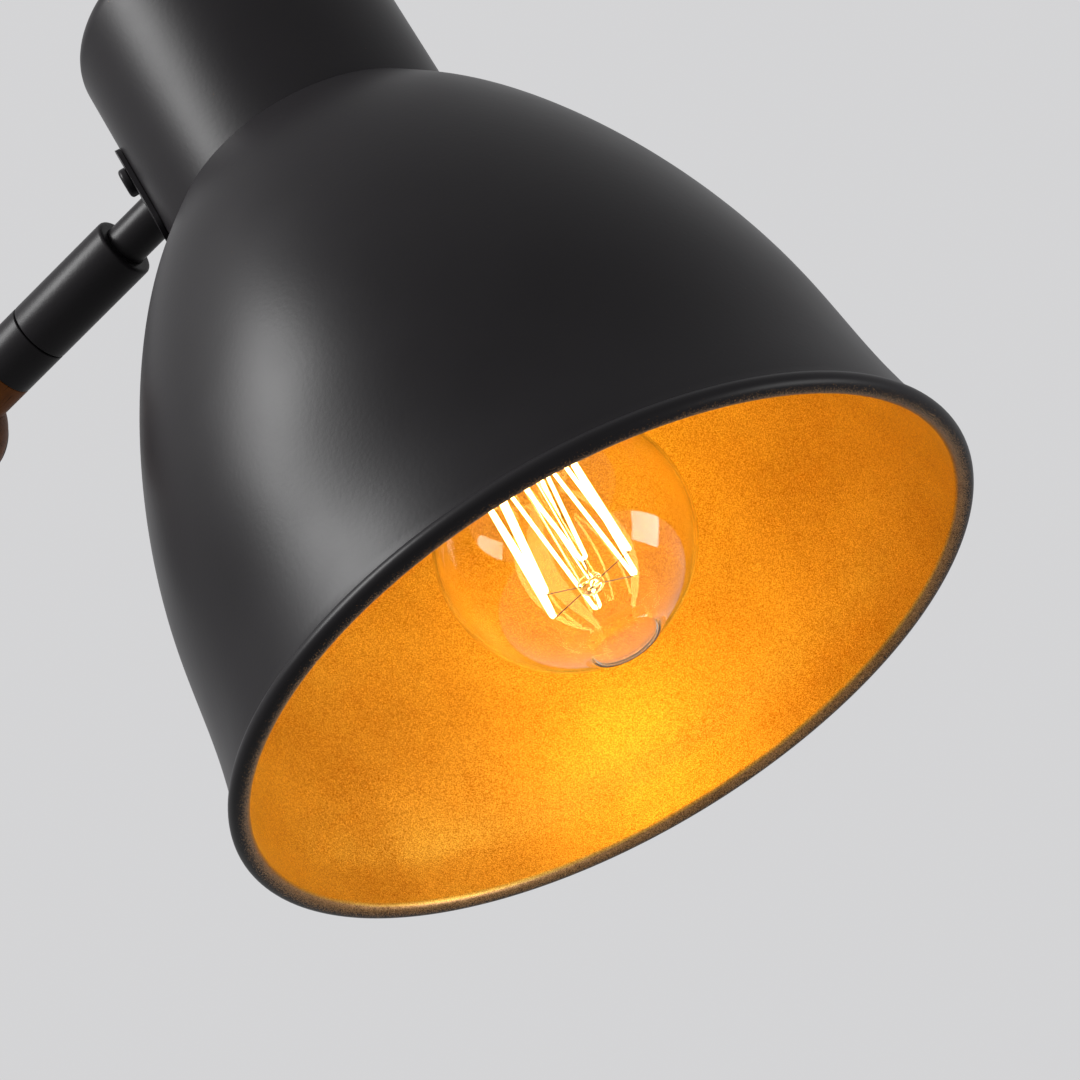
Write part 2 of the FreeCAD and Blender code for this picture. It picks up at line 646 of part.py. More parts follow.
# Rocker switch: bezel and body in one moulding, two blades and the rocker
rocker_out = D.canopy_depth - D.rocker_sink
well_half = D.rocker_half + 0.3 + D.rocker_gap
switch_shell = fuse(
    "switch_shell",
    box("switch_bezel", D.bezel_width, D.bezel_height, D.bezel_thick, y=-D.switch_down, z=D.canopy_depth),
    box("switch_box", D.switch_width, D.switch_height, D.switch_depth, y=-D.switch_down,
        z=D.canopy_depth - D.switch_depth),
)
switch_well = box("switch_well", D.rocker_width + D.rocker_gap * 2, well_half * 2, D.switch_depth,
                  y=-D.switch_down, z=rocker_out - 5.0)
trunnion_half = D.rocker_width / 2 + D.rocker_gap + D.trunnion_length
trunnion_reach = trunnion_half + D.face_gap
trunnion_hole = cylinder("trunnion_hole", D.trunnion_radius + D.fit_gap, trunnion_reach * 2, "x",
                         x=-trunnion_reach, y=-D.switch_down, z=rocker_out)
keep("switch_body", cut("switch_body", switch_shell, switch_well, trunnion_hole), WALL)
blades = []
blade_foot = D.canopy_depth - D.switch_depth - D.blade_length
for end in (-1, 1):
    blades.append(box(f"blade_{end + 1}", D.blade_width, D.blade_thick, D.blade_length,
                      y=-D.switch_down + D.blade_spread * end, z=blade_foot))
keep("switch_blades", group("switch_blades", *blades), WALL)

rocker = doc.addObject("PartDesign::Body", "rocker_body")
rocker_sketch = new_sketch(rocker, "rocker_side", "YZ_Plane")
polygon(rocker_sketch, [
    (-D.rocker_half, D.rocker_rise), (-D.rocker_half, -D.rocker_side), (-D.rocker_half / 2, -D.rocker_belly),
    (D.rocker_half / 2, -D.rocker_belly), (D.rocker_half, -D.rocker_side), (D.rocker_half, D.rocker_rise),
    (0, D.rocker_dip),
])
rocker_pad = rocker.newObject("PartDesign::Pad", "rocker_pad")
rocker_pad.Profile = rocker_sketch
rocker_pad.Midplane = True
bind(rocker_pad, Length=D.rocker_width)
trunnion_sketch = new_sketch(rocker, "rocker_trunnion", "YZ_Plane")
circle(trunnion_sketch, 0, 0, D.trunnion_radius)
trunnion_pad = rocker.newObject("PartDesign::Pad", "trunnion_pad")
trunnion_pad.Profile = trunnion_sketch
trunnion_pad.Midplane = True
bind(trunnion_pad, Length=trunnion_half * 2)
rocker_axis = Vector(0, -float(D.switch_down), float(rocker_out))
keep("rocker_button", rocker, WALL,
     Placement(rocker_axis, Rotation(Vector(1, 0, 0), float(D.rocker_tilt))))

# Wall fork: a flange on the canopy, a web and two ears round the swing pin
fork_foot = D.canopy_depth + D.flange_thick
fork_parts = [
    cylinder("fork_flange", D.flange_radius, D.flange_thick, z=D.canopy_depth),
    box("fork_web", D.fork_width, ear_outside * 2, D.web_thick, z=fork_foot),
]
for side, word in ((-1, "lower"), (1, "upper")):
    ear_middle = (ear_inside + D.fork_ear / 2) * side
    fork_parts.append(box(f"fork_ear_{word}", D.fork_width, D.fork_ear, D.swing_out - fork_foot, y=ear_middle,
                          z=fork_foot))
    fork_parts.append(cylinder(f"fork_ear_{word}_end", D.fork_width / 2, D.fork_ear, "y",
                               y=ear_middle - D.fork_ear / 2, z=D.swing_out))
fork_holes = [
    cylinder("fork_cable_way", nipple_fit, D.flange_thick + D.web_thick, z=D.canopy_depth),
    cylinder("fork_pin_hole", tube_fit, ear_outside * 2, "y", y=-ear_outside, z=D.swing_out),
]
keep("wall_fork", cut("wall_fork", fuse("fork_blank", *fork_parts), *fork_holes), WALL)

nipple_back = canopy_floor - D.washer_wall - D.nut_thick - 1.0
keep("fork_nipple", tube("fork_nipple_body", D.nipple_radius, D.nipple_bore, nipple_back,
                         fork_foot + D.web_thick - 2.0), WALL)
keep("fork_nut", nut("fork_nut_body", D.nut_flat, nipple_fit, D.nut_thick,
                     z=canopy_floor - D.washer_wall - D.nut_thick), WALL)
keep("tooth_washer", ring("tooth_washer_body", D.nut_flat / 2 + 1.5, nipple_fit, D.washer_wall,
                          z=canopy_floor - D.washer_wall), WALL)

# Swing pin with a waist where the cable passes round it, held by a screw from below
pin_end = -ear_outside
pin = turned("swing_pin_body", [
    (0, ear_outside + D.pin_head_height), (D.pin_head_radius, ear_outside + D.pin_head_height),
    (D.pin_head_radius, ear_outside), (D.tube_radius, ear_outside), (D.tube_radius, D.cable_height / 2),
    (D.pin_waist, D.cable_height / 2), (D.pin_waist, -D.cable_height / 2),
    (D.tube_radius, -D.cable_height / 2), (D.tube_radius, pin_end), (screw_fit, pin_end),
    (screw_fit, pin_end + D.pin_thread), (0, pin_end + D.pin_thread),
])
soften(pin, D.pin_head_height * 0.7, [(D.pin_head_radius, ear_outside + D.pin_head_height)])
keep("swing_pin", pin, ARM)
pin_screw = dome_screw("pin_screw_body", D.small_thread, D.pin_screw_length, D.pin_head_radius,
                       D.pin_head_height)
keep("pin_screw", pin_screw, ARM,
     Placement(Vector(0, 0, float(pin_end)), Rotation(Vector(1, 0, 0), 180)))
washers = []
for side, word in ((-1, "lower"), (1, "upper")):
    washer_foot = ear_inside - D.washer_thick + D.face_gap
    if side < 0:
        washer_foot = -ear_inside
    washers.append(ring(f"swing_washer_{word}", D.fork_width / 2 - 0.5, tube_fit,
                        D.washer_thick - D.face_gap, z=washer_foot))
keep("swing_washers", group("swing_washers", *washers), ARM)

# Arm knuckle: a barrel on the pin, cast with the ferrule that holds the wooden rod
knuckle_shell = fuse(
    "knuckle_shell",
    cylinder("knuckle_barrel", D.fork_width / 2, D.knuckle_height, z=-D.knuckle_height / 2),
    cylinder("knuckle_ferrule_rod", D.rod_radius, D.knuckle_ferrule, "x"),
)
tube_start = D.fork_width / 2 + D.tube_back
cable_ring = ring("knuckle_cable_ring", D.fork_width, D.tube_radius, D.cable_height, z=-D.cable_height / 2)
cable_side = box("knuckle_cable_side", D.fork_width, D.fork_width * 2, D.cable_height,
                 x=-D.fork_width / 2 - 1.0, z=-D.cable_height / 2)
knuckle = cut(
    "arm_knuckle", knuckle_shell,
    cylinder("knuckle_bore", tube_fit, D.knuckle_height, z=-D.knuckle_height / 2),
    common("knuckle_cable_way", cable_ring, cable_side),
    cylinder("knuckle_tube_bore", tube_fit, D.knuckle_ferrule, "x", x=tube_start),
    cylinder("knuckle_inner_bore", tube_bore, tube_start, "x"),
    cylinder("knuckle_grub_hole", screw_fit, D.rod_radius, x=D.knuckle_ferrule - D.grub_back,
             z=-D.rod_radius),
)
keep("arm_knuckle", knuckle, ARM)

# Lower arm: a steel tube inside a wooden rod
rod_end = D.arm_reach - fork_back
lower_tube_end = D.arm_reach - bridge_back
keep("lower_core_tube", tube("lower_core_tube_body", D.tube_radius, tube_bore, tube_start, lower_tube_end),
     ARM, ALONG_X)
keep("lower_wood_rod", tube("lower_wood_rod_body", D.rod_radius, tube_fit, D.knuckle_ferrule, rod_end),
     ARM, ALONG_X)

# Elbow fork: a ferrule, a bridge and two round cheeks beside the hub
cheek_length = bridge_front + D.bridge_thick / 2
elbow_parts = [
    cylinder("elbow_ferrule", D.rod_radius, D.fork_ferrule, "x", x=-fork_back),
    box("elbow_bridge", D.bridge_thick, cheek_outside * 2, D.bridge_height,
        x=-bridge_front - D.bridge_thick / 2, z=-D.bridge_height / 2),
]
for side, word in ((-1, "front"), (1, "rear")):
    cheek_middle = (cheek_inside + D.cheek_thick / 2) * side
    elbow_parts.append(cylinder(f"cheek_{word}_end", D.cheek_radius, D.cheek_thick, "y",
                                y=cheek_middle - D.cheek_thick / 2))
    elbow_parts.append(box(f"cheek_{word}", cheek_length, D.cheek_thick, D.bridge_height,
                           x=-cheek_length / 2, y=cheek_middle, z=-D.bridge_height / 2))
elbow_fork = cut(
    "elbow_fork", fuse("elbow_blank", *elbow_parts),
    cylinder("elbow_bolt_hole", D.bolt_radius + D.fit_gap, cheek_outside * 2, "y", y=-cheek_outside),
    cylinder("elbow_tube_bore", tube_fit, D.fork_ferrule, "x", x=-fork_back),
    cylinder("elbow_cable_bore", tube_bore, fork_back, "x", x=-fork_back),
    cylinder("elbow_grub_hole", screw_fit, D.rod_radius, z=-D.rod_radius, x=-fork_back + D.grub_front),
)
keep("elbow_fork", elbow_fork, ELBOW)

grub_low = -D.tube_radius - D.fit_gap - D.grub_length
keep("grub_screws", group(
    "grub_screws",
    cylinder("grub_knuckle", D.small_thread, D.grub_length, x=D.knuckle_ferrule - D.grub_back, z=grub_low),
    cylinder("grub_elbow", D.small_thread, D.grub_length, x=rod_end + D.grub_front, z=grub_low),
), ARM)

# Elbow clamp: bolt through cheeks and hub, fibre washers, and a knob on the near side
knob_foot = cheek_outside + D.washer_wall
bolt = turned("pivot_bolt_body", [
    (0, cheek_outside + D.bolt_head_height), (0, -knob_foot - D.insert_length),
    (D.bolt_radius, -knob_foot - D.insert_length), (D.bolt_radius, cheek_outside),
    (D.bolt_head_radius, cheek_outside), (D.bolt_head_radius, cheek_outside + D.bolt_head_height),
])
soften(bolt, D.bolt_head_height * 0.7, [(D.bolt_head_radius, cheek_outside + D.bolt_head_height)])
keep("pivot_bolt", bolt, ELBOW, ALONG_Y)
fibre = []
for side, word in ((-1, "front"), (1, "rear")):
    fibre_foot = cheek_inside - D.washer_thick
    if side < 0:
        fibre_foot = -cheek_inside
    fibre.append(ring(f"friction_{word}", D.cheek_radius - 0.5, D.bush_radius + 0.3, D.washer_thick, "y",
                      y=fibre_foot))
keep("friction_washers", group("friction_washers", *fibre), ELBOW)
knob_washer = ring("knob_washer_body", D.bolt_head_radius, D.bolt_radius + D.fit_gap, D.washer_wall, "y",
                   y=-knob_foot)
keep("knob_washer", knob_washer, ELBOW)

# Clamp knob, with finger scallops in a polar pattern
knob = doc.addObject("PartDesign::Body", "clamp_knob_body")
knob_sketch = new_sketch(knob, "knob_outline", "XY_Plane")
circle(knob_sketch, 0, 0, D.knob_radius)
knob_pad = knob.newObject("PartDesign::Pad", "knob_pad")
knob_pad.Profile = knob_sketch
bind(knob_pad, Length=D.knob_thick)
soften(knob, measure(1.6), [(D.knob_radius, D.knob_thick)])
doc.recompute()
scallop_sketch = new_sketch(knob, "knob_scallop_outline", "XY_Plane")
circle(scallop_sketch, D.knob_radius + D.knob_scallop * 0.55, 0, D.knob_scallop)
scallop = knob.newObject("PartDesign::Pocket", "knob_scallop_cut")
scallop.Profile = scallop_sketch
scallop.Type = "ThroughAll"
scallop.Reversed = True
doc.recompute()
knob_pattern = knob.newObject("PartDesign::PolarPattern", "knob_pattern")
knob_pattern.Originals = [scallop]
knob_pattern.Axis = (scallop_sketch, ["N_Axis"])
knob_pattern.Angle = 360
knob_pattern.setExpression("Occurrences", D.knob_lobes.text)
knob.Tip = knob_pattern
doc.recompute()
insert_sketch = new_sketch(knob, "knob_insert_outline", "XY_Plane")
circle(insert_sketch, 0, 0, D.insert_radius + D.fit_gap)
insert_pocket = knob.newObject("PartDesign::Pocket", "knob_insert_pocket")
insert_pocket.Profile = insert_sketch
insert_pocket.Reversed = True
bind(insert_pocket, Length=D.insert_length + 1.0)
KNOB_SEAT = Placement(Vector(0, -float(knob_foot) - float(D.face_gap), 0), Rotation(Vector(1, 0, 0), 90))
keep("clamp_knob", knob, ELBOW, KNOB_SEAT)
keep("knob_insert", tube("knob_insert_body", D.insert_radius, D.bolt_radius + D.fit_gap, 0, D.insert_length),
     ELBOW, KNOB_SEAT)

# Elbow hub: a wooden ball with two flats, a seat for the sleeve and the cable's way round the bush
ball = doc.addObject("Part::Sphere", "hub_ball")
bind(ball, Radius=D.hub_radius)
flats = box("hub_flats", D.hub_radius * 4, D.hub_width, D.hub_radius * 4, z=-D.hub_radius * 2)
seat_cut = box("hub_seat_cut", D.hub_radius, D.hub_radius * 2, D.hub_radius * 2,
               x=hub_seat + D.hub_radius / 2, z=-D.hub_radius)
way_radius = D.bush_radius + 4.0
way_back = box("hub_way_back", D.hub_radius, D.slot_way, D.hub_radius * 2, x=-D.hub_radius / 2 - 3.0,
               z=-D.hub_radius)
hub = cut(
    "elbow_hub", common("hub_blank", ball, flats), seat_cut, way_back,
    cylinder("hub_bush_bore", D.bush_radius + D.fit_gap, D.hub_width, "y", y=-D.hub_width / 2),
    cylinder("hub_way_ring", way_radius, D.slot_way, "y", y=-D.slot_way / 2),
    cylinder("hub_tube_bore", tube_fit, D.hub_radius, "x", x=way_radius - 1.0),
)
keep("elbow_hub", hub, SHORT)
keep("pivot_bush", tube("pivot_bush_body", D.bush_radius, D.bolt_radius + D.fit_gap, -D.hub_width / 2,
                        D.hub_width / 2), SHORT, ALONG_Y)

# Short arm: tube, wooden sleeve and the collar with the swivel spigot
keep("upper_core_tube", tube("upper_core_tube_body", D.tube_radius, tube_bore, way_radius,
                             D.collar_start + D.tube_seat), SHORT, ALONG_X)
wood_sleeve = tube("wood_sleeve_body", D.rod_radius, tube_fit, hub_seat, D.collar_start)
keep("wood_sleeve", wood_sleeve, SHORT, ALONG_X)
collar = turned("rear_collar_body", [
    (tube_fit, D.collar_start), (D.rod_radius, D.collar_start), (D.rod_radius, seam), (D.spigot_radius, seam),
    (D.spigot_radius, ring_start), (D.circlip_groove, ring_start), (D.circlip_groove, ring_end),
    (D.spigot_radius, ring_end), (D.spigot_radius, spigot_end), (D.spigot_bore, spigot_end),
    (D.spigot_bore, D.collar_start + D.tube_seat), (tube_fit, D.collar_start + D.tube_seat),
])
keep("rear_collar", collar, SHORT, ALONG_X)
keep("swivel_washer", tube("swivel_washer_body", D.circlip_radius, bore_fit, bearing_end + D.face_gap,
                           ring_start), SHORT, ALONG_X)
circlip_ring = ring("circlip_ring", D.circlip_radius, D.circlip_groove + D.fit_gap, D.circlip_thick, "x",
                    x=ring_start)
circlip_mouth = box("circlip_mouth", D.circlip_thick * 2, 3.0, D.circlip_radius * 2, x=ring_start, z=1.0)
keep("circlip", cut("circlip", circlip_ring, circlip_mouth), SHORT)

# Swivel sleeve: the front of the ferrule, which turns on the spigot
cavity = D.rod_radius - D.sleeve_wall
sleeve = turned("swivel_sleeve_body", [
    (bore_fit, sleeve_start), (D.rod_radius, sleeve_start), (D.rod_radius, sleeve_end),
    (D.stub_radius + D.fit_gap, sleeve_end), (D.stub_radius + D.fit_gap, sleeve_end - D.sleeve_front),
    (cavity, sleeve_end - D.sleeve_front), (cavity, bearing_end), (bore_fit, bearing_end),
])
soften(sleeve, D.edge_round, [(D.rod_radius, sleeve_end)])
keep("swivel_sleeve", sleeve, SHORT, ALONG_X)

# Stub tube: a flange inside the sleeve, a shoulder on the strap and a thread into the neck
stub_shoulder = head_reach - saddle_outside
flange_start = sleeve_end - D.sleeve_front - D.stub_flange_thick
nut_seat = head_reach - root(leg_inside * leg_inside - D.nut_flat * D.nut_flat / 3)
nut_start = nut_seat + D.washer_wall
stub_end = nut_start + D.nut_thick + 1.0
stub = turned("stub_tube_body", [
    (D.nipple_bore, flange_start), (D.stub_flange, flange_start),
    (D.stub_flange, flange_start + D.stub_flange_thick), (D.stub_radius, flange_start + D.stub_flange_thick),
    (D.stub_radius, stub_shoulder), (D.nipple_radius, stub_shoulder), (D.nipple_radius, stub_end),
    (D.nipple_bore, stub_end),
])
keep("stub_tube", stub, SHORT, ALONG_X)
stub_washer = tube("stub_washer_body", D.nut_flat / math.sqrt(3), nipple_fit, nut_seat, nut_start)
keep("stub_washer", stub_washer, SHORT, ALONG_X)
keep("stub_nut", nut("stub_nut_body", D.nut_flat, nipple_fit, D.nut_thick, z=nut_start), SHORT, ALONG_X)

# Neck saddle: a curved strap on the neck, with the stub tube's hole and two screw holes
def strap_holes(name, reach):
    """Tools along the stub tube and the two strap screws, from the neck's middle line outwards."""
    tools = [cylinder(f"{name}_stub_hole", nipple_fit, reach, "x", x=-reach, z=stub_height)]
    for side, word in ((-1, "near"), (1, "far")):
        hole = cylinder(f"{name}_{word}_hole", screw_fit, reach, z=stub_height)
        hole.Placement = strap_screw_frame(side, 0)
        tools.append(hole)
    return tools


def strap_screw_frame(side, outwards):
    """A frame on a strap screw's line at a distance from the neck's middle line, with Z pointing outwards."""
    turn = Rotation(Vector(0, 0, 1), 180 + float(D.screw_angle) * side) * ALONG_X.Rotation
    start = Vector(0, 0, float(stub_height)) + turn.multVec(Vector(0, 0, float(outwards)))
    return Placement(start, turn)


saddle_blank = sector("saddle_blank", saddle_outside, saddle_inside, D.saddle_half,
                      stub_height - D.saddle_down, stub_height + D.saddle_up)
round_corners(saddle_blank, D.saddle_corner, D.saddle_wall)
keep("neck_saddle", cut("neck_saddle", saddle_blank, *strap_holes("saddle", strap_reach)), HEAD)

strap_screws = []
strap_nuts = []
small_nut_seat = root(leg_inside * leg_inside - D.small_nut_flat * D.small_nut_flat / 3)
for side, word in ((-1, "near"), (1, "far")):
    screw = dome_screw(f"strap_screw_{word}", D.small_thread, D.screw_length, D.screw_head_radius,
                       D.screw_head_height)
    strap_screws.append(moved(f"strap_screw_{word}_placed", screw, strap_screw_frame(side, saddle_outside)))
    small_nut = nut(f"strap_nut_{word}", D.small_nut_flat, screw_fit, D.small_nut_thick)
    strap_nuts.append(moved(f"strap_nut_{word}_placed", small_nut,
                            strap_screw_frame(side, small_nut_seat - D.small_nut_thick)))
keep("saddle_screws", group("saddle_screws", *strap_screws), HEAD)
keep("saddle_nuts", group("saddle_nuts", *strap_nuts), HEAD)

# Lampholder bracket: a curved leg inside the neck and a flat shelf that reaches past the neck's middle line
leg = sector("holder_leg", leg_outside, leg_inside, D.holder_leg_half, shelf_height,
             stub_height + D.holder_leg_up)
shelf_end = D.holder_offset + D.nut_flat / 2 + 3.0
shelf_box = box("holder_shelf_box", leg_outside + shelf_end, D.shelf_width, D.holder_sheet,
                x=(shelf_end - leg_outside) / 2, z=shelf_height)
shelf = common("holder_shelf", shelf_box, cylinder("holder_shelf_limit", leg_outside, D.neck_length,
                                                   z=neck_height))
bracket_tools = strap_holes("holder", strap_reach)
bracket_tools.append(cylinder("holder_nipple_hole", nipple_fit, D.holder_sheet, x=D.holder_offset,
                              z=shelf_height))
keep("holder_bracket", cut("holder_bracket", fuse("holder_blank", leg, shelf), *bracket_tools), HEAD)
keep("holder_nipple", tube("holder_nipple_body", D.nipple_radius, D.nipple_bore, holder_top - D.nipple_grip,
                           shelf_top + D.nut_thick + 3.0), HOLDER)
keep("nipple_nuts", group(
    "nipple_nuts",
    nut("nipple_nut_upper", D.nut_flat, nipple_fit, D.nut_thick, z=shelf_top),
    nut("nipple_nut_lower", D.nut_flat, nipple_fit, D.nut_thick, z=shelf_height - D.nut_thick),
), HOLDER)


# Shade: one sheet spun to a bell with a flare, a shoulder and a closed neck, and a rolled bead at the rim
def bell_curves():
    """The outer curve of the bell and the same curve moved in by the sheet's thickness."""
    stations = [
        (D.rim_radius - D.bead_radius + D.shade_wall / 2, 0), (D.flare_radius, D.flare_height),
        (D.belly_radius, belly_height), (D.waist_radius, waist_height), (D.brow_radius, brow_height),
        (D.crown_radius, crown_height), (D.neck_radius, neck_height),
    ]
    outer = Part.BSplineCurve()
    outer.interpolate([Vector(float(radius), 0, float(height)) for radius, height in stations])
    wall = float(D.shade_wall)
    inside = []
    for step in range(len(stations) * 2 - 1):
        along = outer.FirstParameter + (outer.LastParameter - outer.FirstParameter) * step / (
            len(stations) * 2 - 2)
        tangent = outer.tangent(along)[0]
        inward = Vector(-tangent.z, 0, tangent.x)
        inside.append(outer.value(along) + inward * wall)
    inside[0].z = 0
    inside[-1].x = float(neck_inside)
    inner = Part.BSplineCurve()
    inner.interpolate(inside)
    return outer, inner


def arc(middle, radius, first, last):
    """An arc in the XZ plane about a middle point, between two angles in degrees."""
    def on(angle):
        turn = math.radians(angle)
        return middle + Vector(radius * math.cos(turn), 0, radius * math.sin(turn))
    return Part.Arc(on(first), on((first + last) / 2), on(last)).toShape()


def line(start, end):
    return Part.LineSegment(start, end).toShape()


def revolve(edges):
    """Turn a closed outline in the XZ plane about Z."""
    wire = Part.Wire(Part.__sortEdges__(edges))
    return Part.Face(wire).revolve(Vector(0, 0, 0), Vector(0, 0, 1), 360)


def shade_shape():
    outer, inner = bell_curves()
    rim_out, foot_out = outer.StartPoint, outer.EndPoint
    rim_in, foot_in = inner.StartPoint, inner.EndPoint
    top = float(neck_top)
    bend = float(D.neck_round)
    wall = float(D.shade_wall)
    neck_out, neck_in = float(D.neck_radius), float(neck_inside)
    middle = Vector(neck_out - bend, 0, top - bend)
    edges = [
        outer.toShape(), inner.toShape(), line(rim_in, rim_out),
        line(foot_out, Vector(neck_out, 0, middle.z)), arc(middle, bend, 0, 90),
        line(Vector(middle.x, 0, top), Vector(0, 0, top)), line(Vector(0, 0, top), Vector(0, 0, top - wall)),
        line(Vector(0, 0, top - wall), Vector(middle.x, 0, top - wall)), arc(middle, bend - wall, 90, 0),
        line(Vector(neck_in, 0, middle.z), foot_in),
    ]
    sheet_metal = revolve(edges)
    bead = Part.makeTorus(float(D.rim_radius - D.bead_radius), float(D.bead_radius))
    return sheet_metal.fuse(bead).removeSplitter()


shade_blank = doc.addObject("Part::Feature", "shade_blank")
shade_blank.Shape = shade_shape()
keep("shade", cut("shade", shade_blank, *strap_holes("shade", strap_reach)), HEAD)

# Lampholder: body with its well, cap over the collar, brass thread and centre contact
holder = turned("lampholder_body_blank", [
    (D.holder_well, holder_mouth), (D.holder_radius, holder_mouth), (D.holder_radius, collar_foot),
    (D.collar_radius, collar_foot), (D.collar_radius, collar_top), (0, collar_top), (0, well_floor),
    (D.holder_well, well_floor),
])
soften(holder, measure(1.2), [(D.holder_radius, holder_mouth)])
keep("lampholder_body", holder, HOLDER)
cap_inside = D.collar_radius + D.fit_gap
cap_shoulder = holder_top - D.cap_slope
holder_cap = turned("lampholder_cap_blank", [
    (cap_inside, collar_foot), (D.holder_radius, collar_foot), (D.holder_radius, cap_shoulder),
    (D.holder_radius - D.cap_draw, holder_top), (nipple_fit, holder_top),
    (nipple_fit, holder_top - D.cap_wall), (cap_inside - D.cap_draw + 0.5, holder_top - D.cap_wall),
    (cap_inside, cap_shoulder),
])
keep("lampholder_cap", holder_cap, HOLDER)
thread_outside = D.holder_well - D.fit_gap
keep("lampholder_thread", tube("lampholder_thread_body", thread_outside, thread_outside - D.thread_sheet,
                               holder_mouth + D.thread_start, well_floor), HOLDER)
keep("lampholder_contact", fuse(
    "lampholder_contact",
    box("contact_strip", D.strip_length, D.strip_width, D.strip_thick, z=well_floor - D.strip_thick),
    cylinder("contact_point", D.strip_width / 2, well_floor - D.strip_thick - tip_height - D.face_gap,
             z=tip_height + D.face_gap),
), HOLDER)


# Bulb: globe, cap, insulator, contact, stem, filament strands and their supports
def glass_foot(middle, inset):
    """One face of the melted foot: the angle where it leaves the globe, its lowest point and its curve."""
    radius = float(D.globe_radius) - inset
    base = float(D.pip_base) - inset
    edge = float(D.pip_radius) - inset
    height = float(D.pip_height)
    turn = -math.acos(base / radius)
    globe_end = middle + Vector(base, 0, radius * math.sin(turn))
    leaving = Vector(-math.sin(turn), 0, math.cos(turn))
    lowest = middle - Vector(0, 0, radius + height)
    curve = Part.BSplineCurve()
    curve.interpolate([lowest, lowest + Vector(edge, 0, height * 0.6), globe_end],
                      InitialTangent=Vector(1, 0, 0) * edge, FinalTangent=leaving * (base - edge))
    return math.degrees(turn), lowest, curve.toShape()


def glass_shape():
    """The globe and its throat, one wall thick, open where the cap closes it."""
    middle = Vector(0, 0, float(globe_height))
    throat = float(D.cap_radius) - float(D.glass_wall)
    leave = 50
    heading = Vector(-math.sin(math.radians(leave)), 0, math.cos(math.radians(leave)))
    edges = []
    ends = []
    for inset in (0, float(D.glass_wall)):
        radius = float(D.globe_radius) - inset
        first, bottom, foot_curve = glass_foot(middle, inset)
        globe = arc(middle, radius, first, leave)
        start = middle + Vector(heading.z, 0, -heading.x) * radius
        end = Vector(throat - inset, 0, float(cap_start) - 1.0)
        neck = Part.BSplineCurve()
        neck.interpolate([start, end], InitialTangent=heading * radius,
                         FinalTangent=Vector(0, 0, radius * 0.7))
        top = end + Vector(0, 0, float(D.throat_length))
        edges += [foot_curve, globe, neck.toShape(), line(end, top)]
        ends.append((bottom, top))
    edges.append(line(ends[0][0], ends[1][0]))
    edges.append(line(ends[0][1], ends[1][1]))
    return revolve(edges)


glass = doc.addObject("Part::Feature", "bulb_glass")
glass.Shape = glass_shape()
keep("bulb_glass", glass, HOLDER)
cap_skin = D.cap_radius - 0.4
bulb_cap = turned("bulb_cap_body", [
    (cap_skin, cap_start), (D.cap_radius, cap_start), (D.cap_radius, cap_end - 1.5),
    (D.cap_radius - 1.5, cap_end), (D.cap_radius - 2.1, cap_end - 0.5), (cap_skin, cap_end - 1.8),
])
keep("bulb_cap", bulb_cap, HOLDER)
contact_foot = tip_height - 1.6
insulator = turned("cap_insulator_body", [
    (0, cap_end - 3.0), (D.cap_radius - 2.2, cap_end - 3.0), (D.cap_radius - 2.2, cap_end),
    (5.0, contact_foot), (0, contact_foot),
])
keep("cap_insulator", insulator, HOLDER)
keep("cap_contact", turned("cap_contact_body", [
    (0, contact_foot), (4.8, contact_foot), (4.0, tip_height), (0, tip_height),
]), HOLDER)
stem_top = cap_start + 4.0
stem = turned("bulb_stem_body", [
    (0, button_height - D.button_radius), (D.button_radius, button_height - D.button_radius * 0.4),
    (D.button_radius, button_height + D.button_radius * 0.4),
    (D.stem_radius, button_height + D.button_radius), (D.stem_radius, cage_top + 4.0),
    (D.cap_radius - 1.9, stem_top), (D.cap_radius - 1.9, stem_top + 1.5), (0, stem_top + 1.5),
])
keep("bulb_stem", stem, HOLDER)


def around(name, count, build, offset=0.0):
    """One piece at each of several equal angles about the middle line, made by build(name)."""
    pieces = []
    for index in range(count):
        turn = Rotation(Vector(0, 0, 1), 360 * (index + offset) / count)
        pieces.append(moved(f"{name}_{index}_placed", build(f"{name}_{index}"), Placement(Vector(), turn)))
    return group(name, *pieces)


def strand_pair(name):
    """Two strands that rise from one lower hook to the upper hooks on both its sides."""
    spread = float(D.strand_spread)
    half_step = 180 / hook_count
    pair = []
    for way, word in ((-1, "back"), (1, "on")):
        low_angle = math.radians(spread * way)
        high_angle = math.radians((half_step - spread) * way)
        start = [D.cage_radius * math.cos(low_angle), D.cage_radius * math.sin(low_angle), cage_bottom]
        end = [D.cage_top_radius * math.cos(high_angle), D.cage_top_radius * math.sin(high_angle), cage_top]
        rise = [high - low for low, high in zip(start, end)]
        strand = cylinder(f"{name}_{word}", D.strand_radius,
                          root(rise[0] * rise[0] + rise[1] * rise[1] + rise[2] * rise[2]),
                          x=start[0], y=start[1], z=start[2])
        direction = Vector(*[float(step) for step in rise])
        strand.Placement = Placement(strand.Placement.Base, Rotation(Vector(0, 0, 1), direction))
        pair.append(strand)
    return group(name, *pair)


def support_wire(root_radius, ring_radius, height):
    """A function that makes one wire from the glass of the stem out to a ring of hooks."""
    def build(name):
        start = root_radius + D.fit_gap
        return cylinder(name, D.support_radius, ring_radius + D.hook_length - start, "x", x=start, z=height)
    return build


hook_count = int(float(D.hooks))
keep("filament", around("filament", hook_count, strand_pair), HOLDER)
keep("filament_supports", group(
    "filament_supports",
    around("lower_supports", hook_count, support_wire(D.button_radius, D.cage_radius, button_height)),
    around("upper_supports", hook_count, support_wire(D.stem_radius, D.cage_top_radius, cage_top + hook_gap),
           offset=0.5),
), HOLDER)

